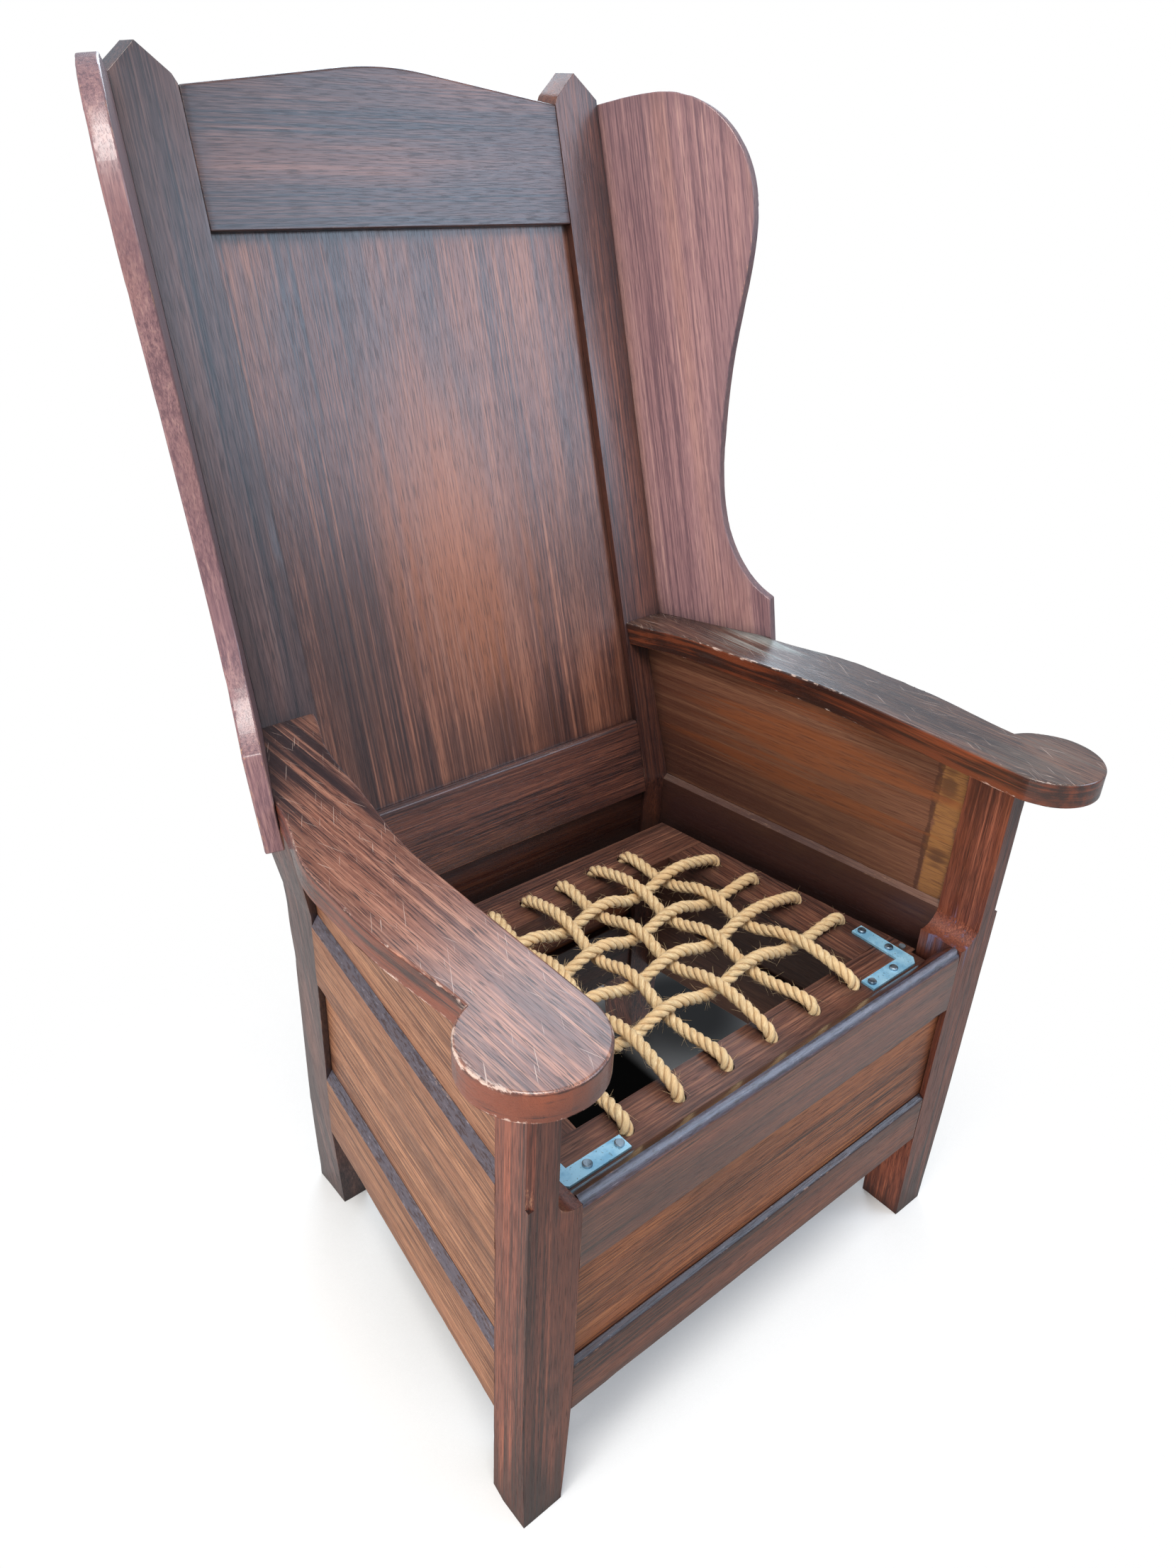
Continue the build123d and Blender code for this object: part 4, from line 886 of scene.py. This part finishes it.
def curvePoints(name, route):
    # points along the route's smooth spline
    data = bpy.data.curves.new(name, "CURVE")
    data.dimensions = "3D"
    data.resolution_u = 12
    spline = data.splines.new("NURBS")
    spline.points.add(len(route) - 1)
    for point, spot in zip(spline.points, route):
        point.co = (*spot, 1.0)
    spline.order_u = 3
    spline.use_endpoint_u = True
    holder = bpy.data.objects.new(name, data)
    read = bpy.data.meshes.new_from_object(holder)
    points = [vertex.co.copy() for vertex in read.vertices]
    bpy.data.objects.remove(holder)
    bpy.data.curves.remove(data)
    bpy.data.meshes.remove(read)
    return points


def evenSteps(points, step):
    # the same line with points at equal distances
    lengths = [0.0]
    for first, second in zip(points, points[1:]):
        lengths.append(lengths[-1] + (second - first).length)
    count = max(2, round(lengths[-1] / step))
    spread = []
    at = 0
    for index in range(count + 1):
        want = lengths[-1] * index / count
        while at < len(points) - 2 and lengths[at + 1] < want:
            at += 1
        gap = lengths[at + 1] - lengths[at]
        share = (want - lengths[at]) / gap if gap else 0.0
        spread.append(points[at].lerp(points[at + 1], share))
    return spread, lengths[-1] / count


def turningFrames(points):
    # a pair of directions square to the line, carried along it without twisting
    frames = []
    side = None
    for index, point in enumerate(points):
        ahead = points[min(index + 1, len(points) - 1)] - points[max(index - 1, 0)]
        ahead.normalize()
        if side is None:
            side = ahead.orthogonal().normalized()
        side = (side - ahead * side.dot(ahead)).normalized()
        frames.append((point, ahead, side, ahead.cross(side)))
    return frames


class MeshParts:
    # gathers vertices, faces and one vector per vertex for a mesh
    def __init__(self):
        self.verts = []
        self.faces = []
        self.marks = []

    def tube(self, rings, marks, closed=True):
        start = len(self.verts)
        sides = len(rings[0])
        for ring, ringMarks in zip(rings, marks):
            self.verts.extend(ring)
            self.marks.extend(ringMarks)
        for row in range(len(rings) - 1):
            for side in range(sides):
                here = start + row * sides + side
                beside = start + row * sides + (side + 1) % sides
                self.faces.append((here, beside, beside + sides, here + sides))
        if closed:
            self.faces.append(tuple(start + side for side in reversed(range(sides))))
            last = start + (len(rings) - 1) * sides
            self.faces.append(tuple(last + side for side in range(sides)))

    def build(self, name, material):
        # a piece of rope, which rides on the seat
        mesh = bpy.data.meshes.new(name)
        mesh.from_pydata(self.verts, [], self.faces)
        mesh.polygons.foreach_set("use_smooth", [True] * len(mesh.polygons))
        store(mesh, "strand", "FLOAT_VECTOR", "vector", [value for mark in self.marks for value in mark])
        mesh.materials.append(material)
        mesh.update()
        piece = bpy.data.objects.new(name, mesh)
        scene.collection.objects.link(piece)
        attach(piece, "seat")
        return piece


def layStrands(parts, points, shift=0.0, swell=None):
    # strands twisted round the line; swell gives their spread and thickness at a share of its length
    spread, step = evenSteps(points, rope["step"])
    frames = turningFrames(spread)
    strandRadius = rope["diameter"] * rope["strandShare"] / 2
    orbit = rope["diameter"] / 2 - strandRadius
    sides = rope["sides"]
    for strand in range(rope["strands"]):
        rings = []
        marks = []
        for index, (point, ahead, side, up) in enumerate(frames):
            run = index * step
            wide, thick = swell(index / (len(frames) - 1)) if swell else (1.0, 1.0)
            where = Vector((run * rope["wobbleRate"], strand * rope["wobbleShift"], shift))
            wobble = 1 + rope["wobble"] * noise.noise(where)
            angle = 2 * math.pi * (run / rope["turn"] + strand / rope["strands"]) + shift
            out = side * math.cos(angle) + up * math.sin(angle)
            about = ahead.cross(out)
            twist = 2 * math.pi * orbit / rope["turn"] * wide
            heading = (ahead + about * twist).normalized()
            flat = heading.cross(out).normalized()
            centre = point + out * orbit * wide * wobble
            ring = []
            mark = []
            for spoke in range(sides):
                turn = 2 * math.pi * spoke / sides
                spoken = out * math.cos(turn) + flat * math.sin(turn)
                ring.append(centre + spoken * strandRadius * thick * wobble)
                mark.append((run, turn / (2 * math.pi), 0.5 + 0.5 * math.cos(turn)))
            rings.append(ring)
            marks.append(mark)
        parts.tube(rings, marks)
    return frames


def knotSwell(share):
    # fat in the middle, for the knot at a rope's end
    bulge = math.sqrt(max(0.0, 1 - (2 * share - 1) ** 4))
    spread, moreSpread = rope["knotSpread"]
    thick, moreThick = rope["knotThick"]
    return spread + moreSpread * bulge, thick + moreThick * bulge


# loose hairs of both ropes

fibreLook = {
    "count": 3000,
    "length": (0.004, 0.014),
    "radius": 0.00016, "thinning": 0.75,
    "root": 0.46,                 # from the rope's middle, in diameters
    "along": (0.6, 1.4), "outwards": (0.2, 0.9),
    "bend": 0.35, "bendShare": 0.6, "sag": 0.4,
    "rings": 4, "corners": (0, 2.094, 4.189),
    "toneShift": 0.37,            # from one hair to the next
    "seed": 7,
}


def addFibres(parts, frames, count, draw):
    look = fibreLook
    for number in range(count):
        point, ahead, side, up = frames[draw.randrange(len(frames))]
        angle = draw.uniform(0, 2 * math.pi)
        out = side * math.cos(angle) + up * math.sin(angle)
        length = draw.uniform(*look["length"])
        heading = ahead * draw.choice((-1, 1)) * draw.uniform(*look["along"])
        heading = (heading + out * draw.uniform(*look["outwards"])).normalized()
        bend = Vector([draw.uniform(-1, most) for most in (1, 1, look["sag"])]) * look["bend"]
        spot = point + out * rope["diameter"] * look["root"]
        rings = []
        marks = []
        for ring in range(look["rings"]):
            share = ring / (look["rings"] - 1)
            width = look["radius"] * (1.0 - look["thinning"] * share)
            across = heading.orthogonal().normalized()
            rise = heading.cross(across)
            rings.append([
                spot + (across * math.cos(turn) + rise * math.sin(turn)) * width
                for turn in look["corners"]
            ])
            marks.append([(number * look["toneShift"], share, 1.0)] * len(look["corners"]))
            heading = (heading + bend * look["bendShare"]).normalized()
            spot = spot + heading * length / (look["rings"] - 1)
        parts.tube(rings, marks, closed=False)


ropeLook = {
    "shaded": paint(206, 164, 110), "pale": paint(252, 230, 184), "warm": paint(240, 200, 146),
    # the crevice colour is painted shade where the strands meet
    "hair": paint(252, 238, 204), "creviceShade": paint(128, 84, 48),
    "yarn": (240.0, 26.0, 0.0), "yarnRough": 0.65, "hairNoise": (90.0, 60.0, 0.0), "toneScale": 45.0,
    "yarnFade": (0.3, 0.7), "warmFade": (0.4, 0.7), "warmShare": 0.5,
    "hairFade": (0.6, 0.72), "hairShare": 0.5, "creviceShadeFade": (0.85, 0.4), "creviceShadeShare": 0.75,
    "rough": 0.72, "roughSpread": 0.2, "hairHeight": 0.5, "bump": (0.6, 0.0006),
    "sheen": 0.15, "sheenRough": 0.4,
}


def makeRopeFinish(look):
    shader = newShader("rope")
    strand = shader.attribute("strand")          # run along the rope, share round the strand, outwards
    outward = shader.axis(strand, 2)
    tone = shader.noise(shader.node("TexCoord", output="Object"), scale=look["toneScale"])
    yarn = shader.noise(shader.stretched(strand, look["yarn"]), rough=look["yarnRough"])
    hair = shader.noise(shader.stretched(strand, look["hairNoise"]), detail=2.0)
    base = shader.blend(shader.fade(yarn, *look["yarnFade"]), look["shaded"], look["pale"])
    base = shader.blend(shader.fade(tone, *look["warmFade"]) * look["warmShare"], base, look["warm"])
    base = shader.blend(shader.fade(hair, *look["hairFade"]) * look["hairShare"], base, look["hair"])
    # painted shade on the strands' sides that turn in towards the rope's middle
    creviceShade = shader.fade(outward, *look["creviceShadeFade"]) * look["creviceShadeShare"]
    base = shader.blend(creviceShade, base, look["creviceShade"])
    return shader.finish({
        "Base Color": base, "Roughness": look["rough"] + (tone - 0.5) * look["roughSpread"],
        "Normal": shader.bump(yarn + hair * look["hairHeight"], *look["bump"]),
        "Sheen Weight": look["sheen"], "Sheen Roughness": look["sheenRough"],
    })


ropeFinish = makeRopeFinish(ropeLook)
ropeRoutes = {
    "seat_rope_lengthwise": laced([lengthwiseString(index) for index in range(len(rope["frontX"]))]),
    "seat_rope_crosswise": laced([crosswiseString(row) for row in range(len(rope["rows"]))]),
}
fibreDraw = random.Random(fibreLook["seed"])
fibres = MeshParts()
for number, (node, route) in enumerate(ropeRoutes.items()):
    strands = MeshParts()
    frames = layStrands(strands, curvePoints(node, route), shift=number * rope["start"])
    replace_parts(strands.build(node + "_strands", ropeFinish), node)
    addFibres(fibres, frames, fibreLook["count"] // 2, fibreDraw)

    # a stopper knot at each end, under the frame
    knots = MeshParts()
    for end in (route[0], route[-1]):
        top = Vector((end.x, end.y, rope["frameBottom"]))
        steps = rope["knotSteps"]
        line = [top - Vector((0, 0, rope["knotLength"] * step / steps)) for step in range(steps + 1)]
        layStrands(knots, line, shift=number, swell=knotSwell)
    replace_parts(knots.build(node + "_stoppers", ropeFinish), node + "_knots")
fibres.build("seat_rope_fibres", ropeFinish)
print("ropes are laced")


# steel corner brackets and screws

steelLooks = {
    "bracket_steel": {
        # the brackets' sky blue is a painted reflection of the sky on the zinc
        "bright": paint(172, 224, 250), "dull": paint(132, 192, 226), "mark": paint(74, 92, 108),
        "rough": 0.34, "metal": 0.3,
    },
    "screw_steel": {
        "bright": paint(170, 190, 204), "dull": paint(84, 98, 110), "mark": paint(44, 40, 40),
        "rough": 0.34, "metal": 0.8,
    },
}
steelGrain = {
    "cloudScale": 60.0, "brush": (900.0, 60.0, 900.0), "speckScale": 420.0,
    "toBright": (0.35, 0.65), "toMark": (0.62, 0.7), "markShare": 0.6,
    "cloudRough": 0.3, "brushRough": 0.08, "brushHeight": 0.4, "speckHeight": 0.6,
    "bump": (0.15, 0.0002), "toDullMetal": (0.6, 0.7), "dullMetal": 0.3,
}
steelNodes = {
    "bracket_steel": ("seat_bracket_left", "seat_bracket_right"),
    "screw_steel": ("cleat_screws", "bracket_screws_left", "bracket_screws_right", "frame_screws"),
}


def makeSteel(name, look):
    shader = newShader(name)
    place = shader.node("TexCoord", output="Object")
    cloud = shader.noise(place, scale=steelGrain["cloudScale"], detail=4.0)
    brush = shader.noise(shader.stretched(place, steelGrain["brush"]), detail=2.0)
    speck = shader.noise(place, scale=steelGrain["speckScale"], detail=2.0)
    base = shader.blend(shader.fade(cloud, *steelGrain["toBright"]), look["dull"], look["bright"])
    marked = shader.fade(speck, *steelGrain["toMark"]) * steelGrain["markShare"]
    height = brush * steelGrain["brushHeight"] + speck * steelGrain["speckHeight"]
    rough = look["rough"] + (cloud - 0.5) * steelGrain["cloudRough"] + brush * steelGrain["brushRough"]
    metal = look["metal"] - shader.fade(speck, *steelGrain["toDullMetal"]) * steelGrain["dullMetal"]
    return shader.finish({
        "Base Color": shader.blend(marked, base, look["mark"]), "Metallic": metal,
        "Roughness": rough, "Normal": shader.bump(height, *steelGrain["bump"]),
    })


for name, look in steelLooks.items():
    steel = makeSteel(name, look)
    for node in steelNodes[name]:
        nodes[node].data.materials.clear()
        nodes[node].data.materials.append(steel)
print("steel is finished")
